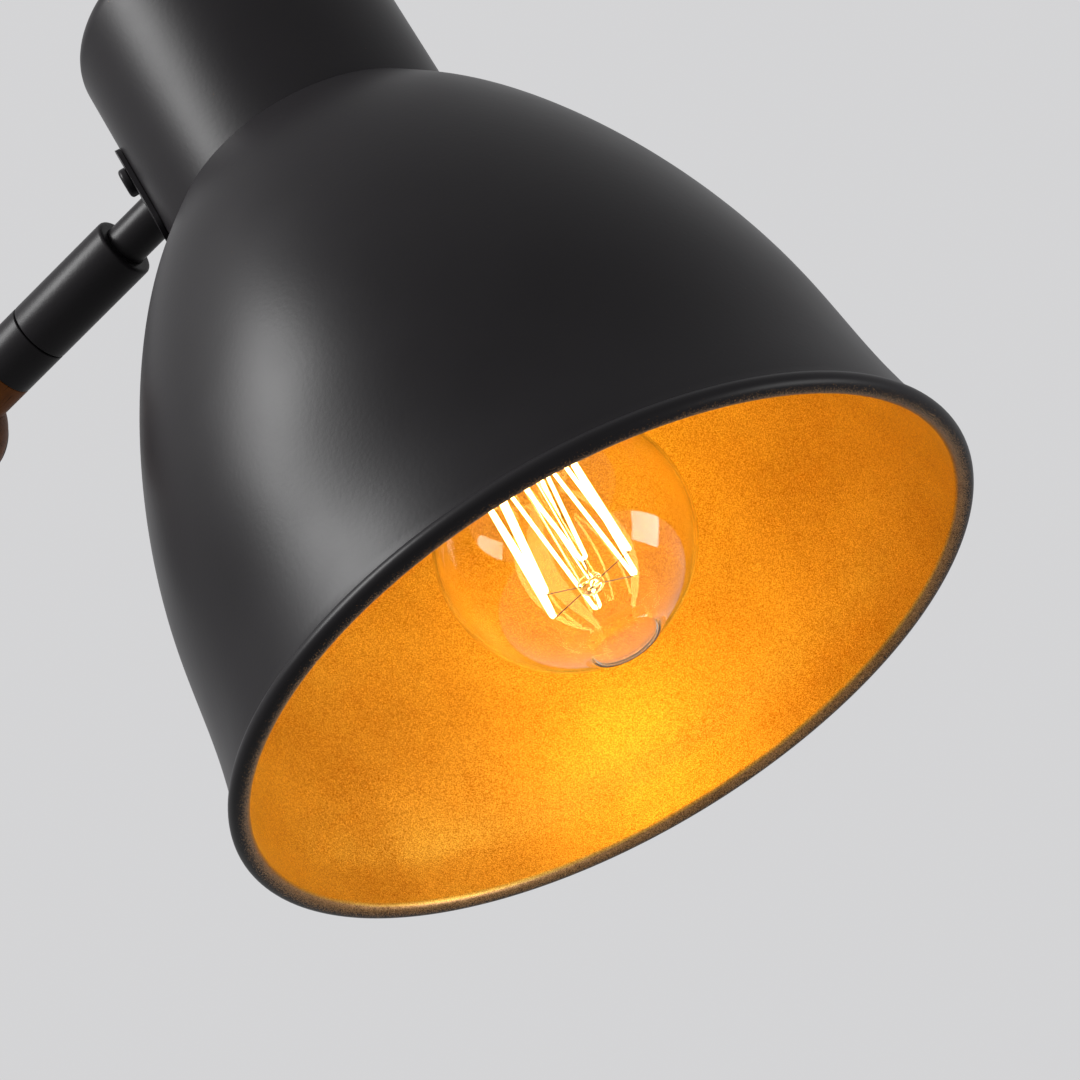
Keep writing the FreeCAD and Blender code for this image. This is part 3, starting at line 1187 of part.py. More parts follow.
# Check every object, then write one file for each sub-part
doc.recompute()
for thing in doc.Objects:
    if "Invalid" in thing.State or "Error" in thing.State:
        raise SystemExit(f"{thing.Name} failed: {thing.State}")
for thing in parts:
    if thing.Shape.isNull() or not thing.Shape.isValid() or not thing.Shape.Solids:
        raise SystemExit(f"{thing.Label} has no valid solid")

os.makedirs("parts", exist_ok=True)
for thing in parts:
    thing.Shape.exportStep(f"parts/{thing.Label}.step")
print(f"{len(parts)} sub-parts written")
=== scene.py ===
# %% [markdown]
# # A swing arm wall light
#
# The light hangs on a wall: a round canopy carries an upright pin, a dark wooden arm swings on it, and a
# short arm with a clamped elbow holds a black bell shade that is gold inside. The measured model is loaded
# first. It fixes the sizes and the joints, and this script only dresses it, so no piece may leave its place.

# %% Load the measured model
import json
import math

import bmesh
import bpy
import numpy as np
from mathutils import Matrix, Vector


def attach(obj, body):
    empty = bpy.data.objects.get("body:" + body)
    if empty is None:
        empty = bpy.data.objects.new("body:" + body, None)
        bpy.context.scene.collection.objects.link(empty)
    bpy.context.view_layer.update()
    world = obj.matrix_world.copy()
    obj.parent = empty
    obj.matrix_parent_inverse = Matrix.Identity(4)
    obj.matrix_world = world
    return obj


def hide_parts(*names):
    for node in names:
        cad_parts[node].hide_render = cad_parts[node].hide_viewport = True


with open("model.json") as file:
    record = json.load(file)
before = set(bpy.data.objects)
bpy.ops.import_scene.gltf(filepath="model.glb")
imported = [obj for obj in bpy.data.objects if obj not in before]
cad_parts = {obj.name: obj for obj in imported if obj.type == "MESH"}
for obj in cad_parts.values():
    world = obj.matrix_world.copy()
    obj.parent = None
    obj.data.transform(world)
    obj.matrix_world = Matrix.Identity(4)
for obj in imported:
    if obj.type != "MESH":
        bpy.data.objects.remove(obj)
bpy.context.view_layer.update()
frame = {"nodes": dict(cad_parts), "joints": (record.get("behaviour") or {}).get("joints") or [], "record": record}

# %% [markdown]
# The light is built from turned pieces that lie along a few lines: out of the wall, along the long arm,
# along the short arm, and down the shade's own middle line. Each line gets its own set of axes, read from
# the joints, so that a piece can be drawn in millimetres along its own line and then put in place. The bulb
# hangs a few millimetres beyond the shade's middle line, so it has a line of its own.

# %% Axes of the light
MM = 0.001
HEAD_REACH = 123.0
STUB_HEIGHT = 174.8
HOLDER_OFFSET = 5.6
joints = {joint["name"]: joint for joint in frame["joints"]}


def axes_at(origin, along, across):
    """A matrix that takes millimetres along a piece's own axes to the model's metres."""
    up = Vector(along).cross(Vector(across))
    turn = Matrix((along, across, up)).transposed().to_4x4()
    return Matrix.Translation(origin) @ turn @ Matrix.Scale(MM, 4)


swing_axis = Vector(joints["arm_swing"]["pos_m"])
elbow_axis = Vector(joints["elbow_tilt"]["pos_m"])
side = -Vector(joints["elbow_tilt"]["axis"]).normalized()
arm_line = side.cross(Vector((0, 0, 1)))
short_line = Vector(joints["head_swivel"]["axis"]).normalized()

WALL = axes_at(Vector((0, 0, 0)), (1, 0, 0), (0, 0, 1))
ARM = axes_at(swing_axis, arm_line, side)
ELBOW = axes_at(elbow_axis, arm_line, side)
SHORT = axes_at(elbow_axis, short_line, side)
HEAD = SHORT @ Matrix.Translation((HEAD_REACH, 0, -STUB_HEIGHT))
HOLDER = HEAD @ Matrix.Translation((HOLDER_OFFSET, 0, 0))
ALONG_X = Matrix.Rotation(math.radians(90), 4, "Y")
print("rim centre at", [round(c, 4) for c in HEAD.translation])

# %% [markdown]
# The camera stands a metre away, a little below the light, and looks up at it by about twelve degrees. The
# long lens keeps the ellipse of the rim as round as it is in the photograph.

# %% Camera
CAMERA_TILT = math.radians(11.86)
LENS, SENSOR = 150, 36
NEAREST, FARTHEST = 0.05, 200
RIM_RIGHT, RIM_DOWN, RIM_AHEAD = 15.177, 26.025, 996.43

ahead = Vector((0, math.cos(CAMERA_TILT), math.sin(CAMERA_TILT)))
up = Vector((0, -math.sin(CAMERA_TILT), math.cos(CAMERA_TILT)))
eye = HEAD.translation + MM * (RIM_DOWN * up - RIM_RIGHT * Vector((1, 0, 0)) - RIM_AHEAD * ahead)
camera = bpy.data.objects.new("camera", bpy.data.cameras.new("camera"))
bpy.context.scene.collection.objects.link(camera)
camera.location = eye
camera.rotation_euler = (math.radians(90) + CAMERA_TILT, 0, 0)
camera.data.lens = LENS
camera.data.sensor_width = SENSOR
camera.data.clip_start = NEAREST
camera.data.clip_end = FARTHEST
bpy.context.scene.camera = camera
print("camera at", [round(c, 3) for c in eye])

# %% [markdown]
# Materials are sums, products and mixes of a few patterns. Written node by node they are hard to read, so
# one small class wraps a socket and lets Python's own operators add the Math nodes: `1 - mask * 0.5` is
# then an expression like any other.


# %% A socket that can be calculated with
class Wire:
    """An output socket in a node tree."""

    def __init__(self, tree, socket):
        self.tree = tree
        self.socket = socket

    def add(self, kind, settings=None, **values):
        """Add a node with its settings, then fill its sockets. An underscore stands for a space in a name."""
        node = self.tree.nodes.new(kind)
        for name, value in (settings or {}).items():
            setattr(node, name, value)
        for name, value in values.items():
            key = int(name[1:]) if name[0] == "i" and name[1:].isdigit() else name.replace("_", " ")
            self.fill(node.inputs[key], value)
        return node

    def fill(self, socket, value):
        if isinstance(value, Wire):
            self.tree.links.new(value.socket, socket)
        else:
            socket.default_value = value

    def out(self, node, name=0):
        return Wire(self.tree, node.outputs[name])

    def math(self, operation, *values, clamp=False):
        settings = {"operation": operation, "use_clamp": clamp}
        node = self.add("ShaderNodeMath", settings, **{f"i{n}": value for n, value in enumerate(values)})
        return self.out(node)

    def __add__(self, other):
        return self.math("ADD", self, other)

    def __radd__(self, other):
        return self.math("ADD", other, self)

    def __sub__(self, other):
        return self.math("SUBTRACT", self, other)

    def __rsub__(self, other):
        return self.math("SUBTRACT", other, self)

    def __mul__(self, other):
        return self.math("MULTIPLY", self, other)

    def __rmul__(self, other):
        return self.math("MULTIPLY", other, self)

    def __truediv__(self, other):
        return self.math("DIVIDE", self, other)

    def clamp(self):
        return self.math("ADD", self, 0.0, clamp=True)

    def step(self, low, high):
        """0 below low, 1 above high, and a smooth rise between them."""
        node = self.add("ShaderNodeMapRange", {"interpolation_type": "SMOOTHSTEP"}, Value=self)
        self.fill(node.inputs["From Min"], low)
        self.fill(node.inputs["From Max"], high)
        return self.out(node)

    def dot(self, direction):
        node = self.add("ShaderNodeVectorMath", {"operation": "DOT_PRODUCT"}, i0=self, i1=tuple(direction))
        return self.out(node, "Value")

    def stretched(self, *scales):
        node = self.add("ShaderNodeVectorMath", {"operation": "MULTIPLY"}, i0=self, i1=scales)
        return self.out(node)

    def noise(self, scale, detail=2.0, roughness=0.5):
        node = self.add("ShaderNodeTexNoise", None, Vector=self, Scale=scale, Detail=detail,
                        Roughness=roughness)
        return self.out(node, "Fac")

    def cells(self, scale):
        """A random value for each small cell."""
        node = self.add("ShaderNodeTexVoronoi", None, Vector=self, Scale=scale)
        return self.out(node, "Color")

    def blend(self, low, high):
        """Mix two colours by this value."""
        node = self.add("ShaderNodeMix", {"data_type": "RGBA"})
        self.fill(node.inputs[0], self)
        self.fill(node.inputs[6], low)
        self.fill(node.inputs[7], high)
        return self.out(node, 2)


def colour(red, green, blue):
    return (red, green, blue, 1.0)


def new_material(name, **constants):
    """A Principled material. Returns the material, its shader node and a Wire for Object coordinates."""
    material = bpy.data.materials.new(name)
    material.use_nodes = True
    shader = material.node_tree.nodes["Principled BSDF"]
    for key, value in constants.items():
        shader.inputs[key.replace("_", " ")].default_value = value
    place = material.node_tree.nodes.new("ShaderNodeTexCoord")
    return material, shader, Wire(material.node_tree, place.outputs["Object"])


def drive(place, shader, bump=None, strength=0.2, distance=0.0002, **values):
    """Link wires to the shader's sockets, and a height to its normal through a Bump node."""
    for key, value in values.items():
        place.fill(shader.inputs[key.replace("_", " ")], value)
    if bump is not None:
        node = place.add("ShaderNodeBump", None, Height=bump, Strength=strength, Distance=distance)
        place.fill(shader.inputs["Normal"], place.out(node))


print("operators ready")

# %% [markdown]
# ## Black powder coat
#
# The steel and aluminium pieces are powder coated in satin black. Close up such a coat isn't smooth: it has
# a fine orange peel, about a millimetre across and a few hundredths deep. It blurs reflections into a broad
# sheen, so roughness is medium and a faint noise feeds the bump. Rubbed spots are a little smoother.

# %% Black powder coat
COAT_SHINE = 0.085
PEEL_SCALE, PATCH_SCALE = 900.0, 35.0
BLACK_DARK, BLACK_LIGHT = colour(0.0075, 0.0068, 0.0076), colour(0.0101, 0.0092, 0.0103)


def black_coat(name, roughness=0.37, peel=PEEL_SCALE):
    material, shader, place = new_material(name, Specular_IOR_Level=COAT_SHINE, IOR=1.5)
    grain = place.noise(peel, 2.0)
    patches = place.noise(PATCH_SCALE, 3.0)
    drive(
        place, shader, bump=grain, strength=0.22, distance=0.00012,
        Base_Color=patches.blend(BLACK_DARK, BLACK_LIGHT),
        Roughness=roughness - 0.05 + patches * 0.1,
    )
    return material


powder_black = black_coat("powder_black")
fastener_black = black_coat("fastener_black", roughness=0.34, peel=1600.0)
print("black coats made")

# %% [markdown]
# ## Gold inside the shade
#
# The inside is sprayed with a metallic gold paint. The paint is full of small flakes that lie at slightly
# different angles, so it sparkles in fine grains and glows where the bulb lights it. The spray also covers
# the inner face of the rolled rim and thins out there: first it turns paler and browner, then it breaks up
# into specks over the black. The mesh carries that as an attribute called `gold`: 1 inside, 0 outside, and
# in between on the rim. A noise compared with it gives the specks, and what it lacks of 1 gives the paler
# tones.

# %% Shade finish, black outside and gold inside
RICH_DARK, RICH_LIGHT = colour(0.425, 0.166, 0.003), colour(0.965, 0.67, 0.095)
PALE_DARK, PALE_LIGHT = colour(0.075, 0.030, 0.008), colour(0.44, 0.25, 0.11)


def shade_finish():
    material, shader, place = new_material("shade_finish", Specular_IOR_Level=COAT_SHINE, IOR=1.5)
    spray_node = place.add("ShaderNodeAttribute", {"attribute_name": "gold"})
    spray = place.out(spray_node, "Fac")
    specks = place.noise(4200.0, 1.0)
    gold = (spray * 1.6 - 0.3 + (specks - 0.5) * 2.2).step(0.40, 0.60)
    flakes = place.out(place.add("ShaderNodeSeparateColor", None, Color=place.cells(5200.0)))
    cloud = place.noise(38.0, 4.0, 0.6)
    fine = place.noise(3800.0, 2.0)
    shine = (flakes * 0.7 + (fine - 0.5) * 1.2 + cloud * 0.5 - 0.12).clamp()
    thin = ((1 - spray) * 5).clamp()
    gold_tone = thin.blend(shine.blend(RICH_DARK, RICH_LIGHT), shine.blend(PALE_DARK, PALE_LIGHT))
    patches = place.noise(PATCH_SCALE, 3.0)
    black_tone = patches.blend(BLACK_DARK, BLACK_LIGHT)
    black_rough = 0.32 + patches * 0.1
    gold_rough = 0.25 + cloud * 0.10 + flakes * 0.12
    peel = place.noise(PEEL_SCALE, 2.0)
    height = gold * (fine * 0.9 + flakes * 0.5) + (1 - gold) * peel * 0.4
    drive(
        place, shader, bump=height, strength=0.3, distance=0.00012,
        Base_Color=gold.blend(black_tone, gold_tone),
        Roughness=gold * gold_rough + (1 - gold) * black_rough,
        Metallic=gold * 0.92,
    )
    return material


gold_and_black = shade_finish()
print("shade finish made")

# %% [markdown]
# ## Dark wood
#
# The rods and the ball hub are dark stained wood, oiled but not glossy. Grain runs along the rod: long
# streaks that are many times longer than they are wide, with short dark pores. A pattern in the model's own
# axes would cut across the arm, so the place is first measured along and across each rod.

# %% Dark wood, for each direction of the grain
WOOD_DARK, WOOD_LIGHT = colour(0.028, 0.0085, 0.0018), colour(0.150, 0.046, 0.0075)
PORE_BROWN = colour(0.012, 0.005, 0.002)


def dark_wood(name, along, across):
    material, shader, place = new_material(name, Specular_IOR_Level=0.07, Coat_Roughness=0.35)
    along, across = Vector(along).normalized(), Vector(across).normalized()
    third = along.cross(across)
    grain_node = place.add("ShaderNodeCombineXYZ", None, X=place.dot(along), Y=place.dot(across),
                           Z=place.dot(third))
    grain = place.out(grain_node)
    wander = grain.stretched(6.0, 40.0, 40.0).noise(1.0, 3.0)
    rings = grain.stretched(4.0, 1.0, 1.0).noise(95.0, 4.0, 0.6) + wander * 0.6
    streaks = grain.stretched(0.05, 1.0, 1.0).noise(900.0, 3.0, 0.65)
    pores = grain.stretched(0.06, 1.0, 1.0).noise(2400.0, 1.0).step(0.62, 0.7)
    tone = (rings * 0.55 + streaks * 0.6 - 0.1).clamp()
    wood = tone.blend(WOOD_DARK, WOOD_LIGHT)
    drive(
        place, shader, bump=streaks * 0.6 - pores, strength=0.35, distance=0.00015,
        Base_Color=(pores * 0.75).blend(wood, PORE_BROWN),
        Roughness=0.42 + streaks * 0.15 + pores * 0.15,
        Coat_Weight=0.03 * (1 - pores),
    )
    return material


arm_wood = dark_wood("arm_wood", arm_line, side)
hub_wood = dark_wood("hub_wood", short_line, side)
print("woods made")

# %% [markdown]
# ## The other finishes
#
# The rest is hidden or small, but every piece gets its own finish. Zinc plating has faint cloudy patches,
# brass is warmer, moulded plastic has a fine grain, and pressed fibre is speckled.
# One function makes them all: two tones mixed by a noise, and a finer noise for the bump.

# %% Plain finishes
FINE_GRAIN = 1500.0


def plain_finish(name, dark, light, roughness, scale=60.0, bump=0.15, **constants):
    material, shader, place = new_material(name, **constants)
    patches = place.noise(scale, 3.0)
    fine = place.noise(FINE_GRAIN, 2.0)
    drive(
        place, shader, bump=fine, strength=bump, distance=0.0001,
        Base_Color=patches.blend(colour(*dark), colour(*light)),
        Roughness=roughness - 0.05 + patches * 0.08 + fine * 0.04,
    )
    return material


zinc = plain_finish("zinc_plate", (0.50, 0.50, 0.49), (0.66, 0.66, 0.64), 0.36, Metallic=1.0)
brass = plain_finish("brass", (0.62, 0.42, 0.16), (0.80, 0.60, 0.28), 0.3, Metallic=1.0)
nickel = plain_finish("nickel", (0.70, 0.67, 0.62), (0.82, 0.79, 0.74), 0.24, Metallic=1.0)
solder = plain_finish("solder", (0.55, 0.55, 0.56), (0.72, 0.72, 0.71), 0.38, scale=400.0, Metallic=1.0)
wire_dark = plain_finish("support_wire", (0.10, 0.07, 0.05), (0.17, 0.12, 0.08), 0.4, Metallic=0.9)
black_plastic = plain_finish("black_plastic", (0.009, 0.009, 0.010), (0.014, 0.014, 0.015), 0.42,
                             bump=0.25, Specular_IOR_Level=0.22)
white_plastic = plain_finish("white_plastic", (0.74, 0.73, 0.69), (0.80, 0.79, 0.75), 0.38, bump=0.2)
nylon = plain_finish("nylon", (0.76, 0.74, 0.68), (0.82, 0.80, 0.75), 0.45, Subsurface_Weight=0.1)
fibre = plain_finish("pressed_fibre", (0.20, 0.055, 0.030), (0.32, 0.11, 0.06), 0.7, scale=900.0, bump=0.5)
black_glass = plain_finish("black_glass", (0.010, 0.010, 0.012), (0.018, 0.018, 0.022), 0.12,
                           Coat_Weight=0.3)
print("plain finishes made")

# %% [markdown]
# ## Clear glass and glowing wire
#
# The bulb is blown from thin glass with a faint amber tint. It bends light twice, in and out, so its two
# walls are both modelled. Its mirror image of the room is toned down by half, so that the gold shows
# through. Glass also stops the lamp inside it from lighting the shade, because a renderer's shadow rays
# don't bend. Mixing in a Transparent shader for shadow rays alone lets the light out.


# %% Glass and filament
def clear_glass(name, tint):
    material, shader, place = new_material(name, Base_Color=colour(*tint), Transmission_Weight=1.0, IOR=1.45,
                                           Roughness=0.0, Specular_Tint=colour(0.5, 0.5, 0.5))
    drive(place, shader, bump=place.noise(60.0, 2.0), strength=0.05, distance=0.0003)
    tree = material.node_tree
    seen = Wire(tree, shader.outputs["BSDF"])
    through = place.out(place.add("ShaderNodeBsdfTransparent", None, Color=colour(*tint)))
    path = place.add("ShaderNodeLightPath")
    mixed = place.add("ShaderNodeMixShader")
    place.fill(mixed.inputs[0], place.out(path, "Is Shadow Ray"))
    place.fill(mixed.inputs[1], seen)
    place.fill(mixed.inputs[2], through)
    place.fill(tree.nodes["Material Output"].inputs["Surface"], place.out(mixed))
    return material


def glowing_wire(name, tone, strength):
    material, shader, place = new_material(name, Roughness=0.5, Emission_Strength=strength)
    heat = place.noise(300.0, 2.0)
    drive(
        place, shader,
        Base_Color=heat.blend(colour(0.9, 0.6, 0.3), colour(1.0, 0.75, 0.45)),
        Emission_Color=heat.blend(colour(*tone), colour(1.0, tone[1] * 1.15, tone[2] * 1.5)),
    )
    return material


bulb_clear = clear_glass("bulb_clear_glass", (1.0, 0.965, 0.90))
filament_glow = glowing_wire("filament_glow", (1.0, 0.52, 0.16), 12.0)
print("glass and filament made")

# %% [markdown]
# ## Turned pieces
#
# Most of this light is turned or spun: tubes, ferrules, rods, the bell and the bulb. Blender's Spin could
# do it, but an outline that is turned in Python keeps its points where they are wanted. An outline is a
# closed list of corners, each a radius, a height and how far its rounding reaches. Sharp corners never
# occur on a painted or turned piece, so nearly every corner has a rounding. Where the outline meets the
# middle line, the turned skin closes in a single point.

# %% Outlines and the lathe
ON_THE_AXIS = 1e-6


def rounded_outline(corners, steps=4):
    """A closed outline with a smooth bend at every corner that has a rounding."""
    flat = [Vector(corner[:2]) for corner in corners]
    points = []
    for index, corner in enumerate(corners):
        here, before, after = flat[index], flat[index - 1], flat[(index + 1) % len(flat)]
        reach = corner[2] if len(corner) > 2 else 0
        if not reach:
            points.append(here)
            continue
        start = here + (before - here).normalized() * min(reach, (before - here).length * 0.49)
        end = here + (after - here).normalized() * min(reach, (after - here).length * 0.49)
        for step in range(steps + 1):
            part = step / steps
            points.append(start * (1 - part) ** 2 + here * 2 * part * (1 - part) + end * part ** 2)
    return points


def turn_outline(name, points, axes, segments=96):
    """A closed skin from an outline of (radius, height) points, turned about its middle line."""
    area = sum(a[0] * b[1] - b[0] * a[1] for a, b in zip(points, points[1:] + points[:1]))
    if area < 0:
        points = points[::-1]
    corners, rings = [], []
    for radius, height in points:
        count = 1 if radius < ON_THE_AXIS else segments
        rings.append([len(corners) + step for step in range(count)] * (segments // count))
        for step in range(count):
            angle = 2 * math.pi * step / segments
            corners.append(axes @ Vector((radius * math.cos(angle), radius * math.sin(angle), height)))
    faces = []
    for low, high in zip(rings, rings[1:] + rings[:1]):
        for step in range(segments):
            after = (step + 1) % segments
            corner_ring = [low[step], low[after], high[after], high[step]]
            face = [point for place, point in enumerate(corner_ring) if point != corner_ring[place - 1]]
            if len(face) > 2:
                faces.append(face)
    mesh = bpy.data.meshes.new(name)
    mesh.from_pydata(corners, [], faces)
    return mesh


def finish_mesh(mesh, material, crease=35.0):
    """Smooth the faces, keep real edges sharp, and give the mesh its finish."""
    mesh.shade_smooth()
    mesh.set_sharp_from_angle(angle=math.radians(crease))
    mesh.materials.clear()
    mesh.materials.append(material)


def hang_piece(name, mesh, body, slot, *nodes):
    """Put a finished mesh in the scene, on its body, in place of the measured nodes that it stands for."""
    piece = bpy.data.objects.new(name, mesh)
    bpy.context.scene.collection.objects.link(piece)
    if nodes:
        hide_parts(*nodes)
    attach(piece, body)
    return piece


def turned_piece(name, corners, axes, material, body, slot):
    """A turned piece that stands for the measured node of the same name."""
    mesh = turn_outline(name, rounded_outline(corners), axes)
    finish_mesh(mesh, material)
    return hang_piece(f"{name}_turned", mesh, body, slot, name)


print("lathe ready")

# %% [markdown]
# ## The bell
#
# The shade is one sheet of aluminium spun over a form: a slightly flared mouth, a long belly, a round
# shoulder and a straight neck with a softly rounded top. Its curve comes from seven stations with the
# smoothest curve through them, which is what a spinner's tool leaves. The inner face is the same curve
# moved in by the sheet's thickness, and the rim is rolled outwards into a bead that the inner face runs
# into without a groove.

# %% Sizes of the shade
SHADE_WALL = 1.0
BEAD_MIDDLE, BEAD_RADIUS, BEAD_BLEND = 90.1, 2.4, 11.0
BEAD_START, BEAD_STOP, BEAD_STEPS, BEAD_SWEEP = 180, 447, 40, 4
SPRAY_START, SPRAY_FADE = 185, 150
NECK_RADIUS, NECK_FOOT, NECK_TOP, NECK_ROUND = 37.5, 147.3, 208.0, 6.0
BELL_STATIONS = [(90.6, 0.0), (86.7, 20.0), (83.1, 50.0), (74.3, 85.0), (61.1, 115.0), (48.2, 135.0),
                 (NECK_RADIUS, NECK_FOOT)]
print("mouth", 2 * (BEAD_MIDDLE + BEAD_RADIUS), "mm across, shade", NECK_TOP, "mm high")


# %% Curves for its outline
def smooth_curve(stations, count):
    """Points on a natural cubic spline through the stations."""
    points = np.array(stations)
    steps = np.linalg.norm(np.diff(points, axis=0), axis=1)
    along = np.concatenate(([0], np.cumsum(steps)))
    system, right = np.eye(len(points)), np.zeros_like(points)
    for index in range(1, len(points) - 1):
        before, after = steps[index - 1], steps[index]
        system[index, index - 1:index + 2] = before, 2 * (before + after), after
        right[index] = 6 * ((points[index + 1] - points[index]) / after
                            - (points[index] - points[index - 1]) / before)
    bend = np.linalg.solve(system, right)
    curve = []
    for place in np.linspace(0, along[-1], count):
        index = min(int(np.searchsorted(along, place, side="right")) - 1, len(steps) - 1)
        on = (place - along[index]) / steps[index]
        back = 1 - on
        curve.append(back * points[index] + on * points[index + 1]
                     + ((back ** 3 - back) * bend[index] + (on ** 3 - on) * bend[index + 1])
                     * steps[index] ** 2 / 6)
    return curve


def moved_in(curve, distance):
    """The curve moved towards the middle line by a distance."""
    slopes = np.gradient(np.array(curve), axis=0)
    slopes /= np.linalg.norm(slopes, axis=1)[:, None]
    return [point + distance * np.array((-slope[1], slope[0])) for point, slope in zip(curve, slopes)]


def round_corner(middle, radius, first, last, steps=12):
    """Points on an arc, between two angles in degrees."""
    angles = np.radians(np.linspace(first, last, steps))
    return [np.array(middle) + radius * np.array((math.cos(angle), math.sin(angle))) for angle in angles]


def swept(start, start_handle, end_handle, end, steps):
    """Points on a curve that leaves one point towards its handle and comes into the other from its own."""
    result = []
    for part in np.linspace(0, 1, steps):
        back = 1 - part
        result.append(np.array(start) * back ** 3 + np.array(start_handle) * 3 * back ** 2 * part
                      + np.array(end_handle) * 3 * back * part ** 2 + np.array(end) * part ** 3)
    return result


print("curves ready")


# %% Shade
def bell_outline():
    """The shade's section as points, and how much gold lies on each."""
    outer = smooth_curve(BELL_STATIONS, 90)
    inner = moved_in(outer, SHADE_WALL)[::-1]
    bend_middle = (NECK_RADIUS - NECK_ROUND, NECK_TOP - NECK_ROUND)
    black = [point for point in outer if point[1] > BEAD_RADIUS]
    black += round_corner(bend_middle, NECK_ROUND, 0, 90)
    black.append((0, NECK_TOP))
    gold = [(0, NECK_TOP - SHADE_WALL)] + round_corner(bend_middle, NECK_ROUND - SHADE_WALL, 90, 0)
    wall = [point for point in inner if point[1] > BEAD_BLEND]
    bead_side = np.array((BEAD_MIDDLE - BEAD_RADIUS, 0))
    heading = (wall[-1] - wall[-2]) / np.linalg.norm(wall[-1] - wall[-2])
    gold += wall + swept(wall[-1], wall[-1] + heading * BEAD_SWEEP, bead_side + (0, BEAD_SWEEP), bead_side,
                         10)[1:-1]
    bead = round_corner((BEAD_MIDDLE, 0), BEAD_RADIUS, BEAD_START, BEAD_STOP, BEAD_STEPS)
    faded = [(turn - SPRAY_START) / SPRAY_FADE for turn in np.linspace(BEAD_START, BEAD_STOP, BEAD_STEPS)]
    spray = [0.0] * len(black) + [1.0] * len(gold) + [1 - min(max(part, 0), 1) for part in faded]
    return [tuple(point) for point in black + gold + bead], spray


bell_points, spray = bell_outline()
BELL_SEGMENTS = 240
bell_mesh = turn_outline("shade_bell", bell_points, HEAD, BELL_SEGMENTS)
layer = bell_mesh.attributes.new("gold", "FLOAT", "POINT")
ring_values = []
for point, value in zip(bell_points, spray):
    ring_values += [value] * (1 if point[0] < ON_THE_AXIS else BELL_SEGMENTS)
layer.data.foreach_set("value", ring_values)
finish_mesh(bell_mesh, gold_and_black, crease=40)
hang_piece("shade_bell", bell_mesh, "head", "shade_aluminium", "shade")
print("bell points:", len(bell_points))

# %% [markdown]
# ## The bulb
#
# The bulb is a common round one. Its clear globe runs in one sweep into a narrow throat, which ends inside
# the screw cap. At the bottom the glass was melted shut, which leaves a low round foot with a soft edge.
# The glass has an outer and an inner face, so that its edge darkens and the filament bends a little behind
# it, as in real glass.

# %% Bulb glass
GLASS_WALL = 0.8
GLOBE_MIDDLE, GLOBE_RADIUS = 29.6, 30.0
GLOBE_END_ANGLE, THROAT_SWEEP, THROAT_LAP = 50, 9, 9
FOOT_HEIGHT, FOOT_EDGE, FOOT_ROUND, FOOT_ANGLE = 0.8, 8.7, 0.95, -68
EDGE_HANDLE, HOLLOW_HANDLE = (0.25, 0.45), (1.15, 0.35)
CAP_START, CAP_END = 78.1, 99.6
CAP_RADIUS, CONTACT_END = 13.3, 104.6


def globe_and_throat(inset, first):
    """One face of the glass, from low on the globe up to the end of its throat."""
    globe = round_corner((0, GLOBE_MIDDLE), GLOBE_RADIUS - inset, first, GLOBE_END_ANGLE, 60)
    end_angle = math.radians(GLOBE_END_ANGLE)
    heading = np.array((-math.sin(end_angle), math.cos(end_angle)))
    top = np.array((CAP_RADIUS - GLASS_WALL - inset, CAP_START - 1))
    throat = swept(globe[-1], globe[-1] + heading * THROAT_SWEEP, top - (0, THROAT_SWEEP), top, 20)
    return globe + throat[1:] + [top + (0, THROAT_LAP)]


def melted_foot(inset, globe_start):
    """One face of the foot: a low dome with a round edge, then a hollow bend into the globe."""
    lowest = GLOBE_MIDDLE - GLOBE_RADIUS - FOOT_HEIGHT + inset
    edge = np.array((FOOT_EDGE - inset, lowest + FOOT_ROUND))
    dome = swept((0, lowest), (edge[0] * 0.5, lowest), (edge[0] * 0.92, lowest + 0.15), edge, 12)
    hollow = swept(edge, edge + EDGE_HANDLE, globe_start - HOLLOW_HANDLE, globe_start, 12)
    return dome + hollow[1:-1]


outside = globe_and_throat(0, FOOT_ANGLE)
inside = globe_and_throat(GLASS_WALL, FOOT_ANGLE)
glass_curve = melted_foot(0, outside[0]) + outside
glass_curve += inside[::-1] + melted_foot(GLASS_WALL, inside[0])[::-1]
glass_points = [tuple(point) for point in glass_curve]
glass_mesh = turn_outline("bulb_glass_blown", glass_points, HOLDER, 128)
finish_mesh(glass_mesh, bulb_clear, crease=60)
hang_piece("bulb_glass_blown", glass_mesh, "head", "bulb_clear_glass", "bulb_glass")
print("bulb glass faces:", len(glass_mesh.polygons))

# %% [markdown]
# The screw cap is rolled from thin sheet, so its thread is a soft wave that climbs as it goes round. The
# lathe makes a plain sleeve with many level rings, and then each point of its outer face moves in by a wave
# of its height plus its own angle's share of one pitch, which makes the wave a helix.

# %% Screw cap
THREAD_PITCH, THREAD_DEPTH, THREAD_HAND = 3.6, 0.75, -1
CAP_WALL, CAP_LIP = 0.4, 1.5
THREAD_RISE, THREAD_FALL = 3, 2
INSULATOR_RADIUS, INSULATOR_START = CAP_RADIUS - 2.2, CAP_END - 3.0
CONTACT_START = CONTACT_END - 1.6


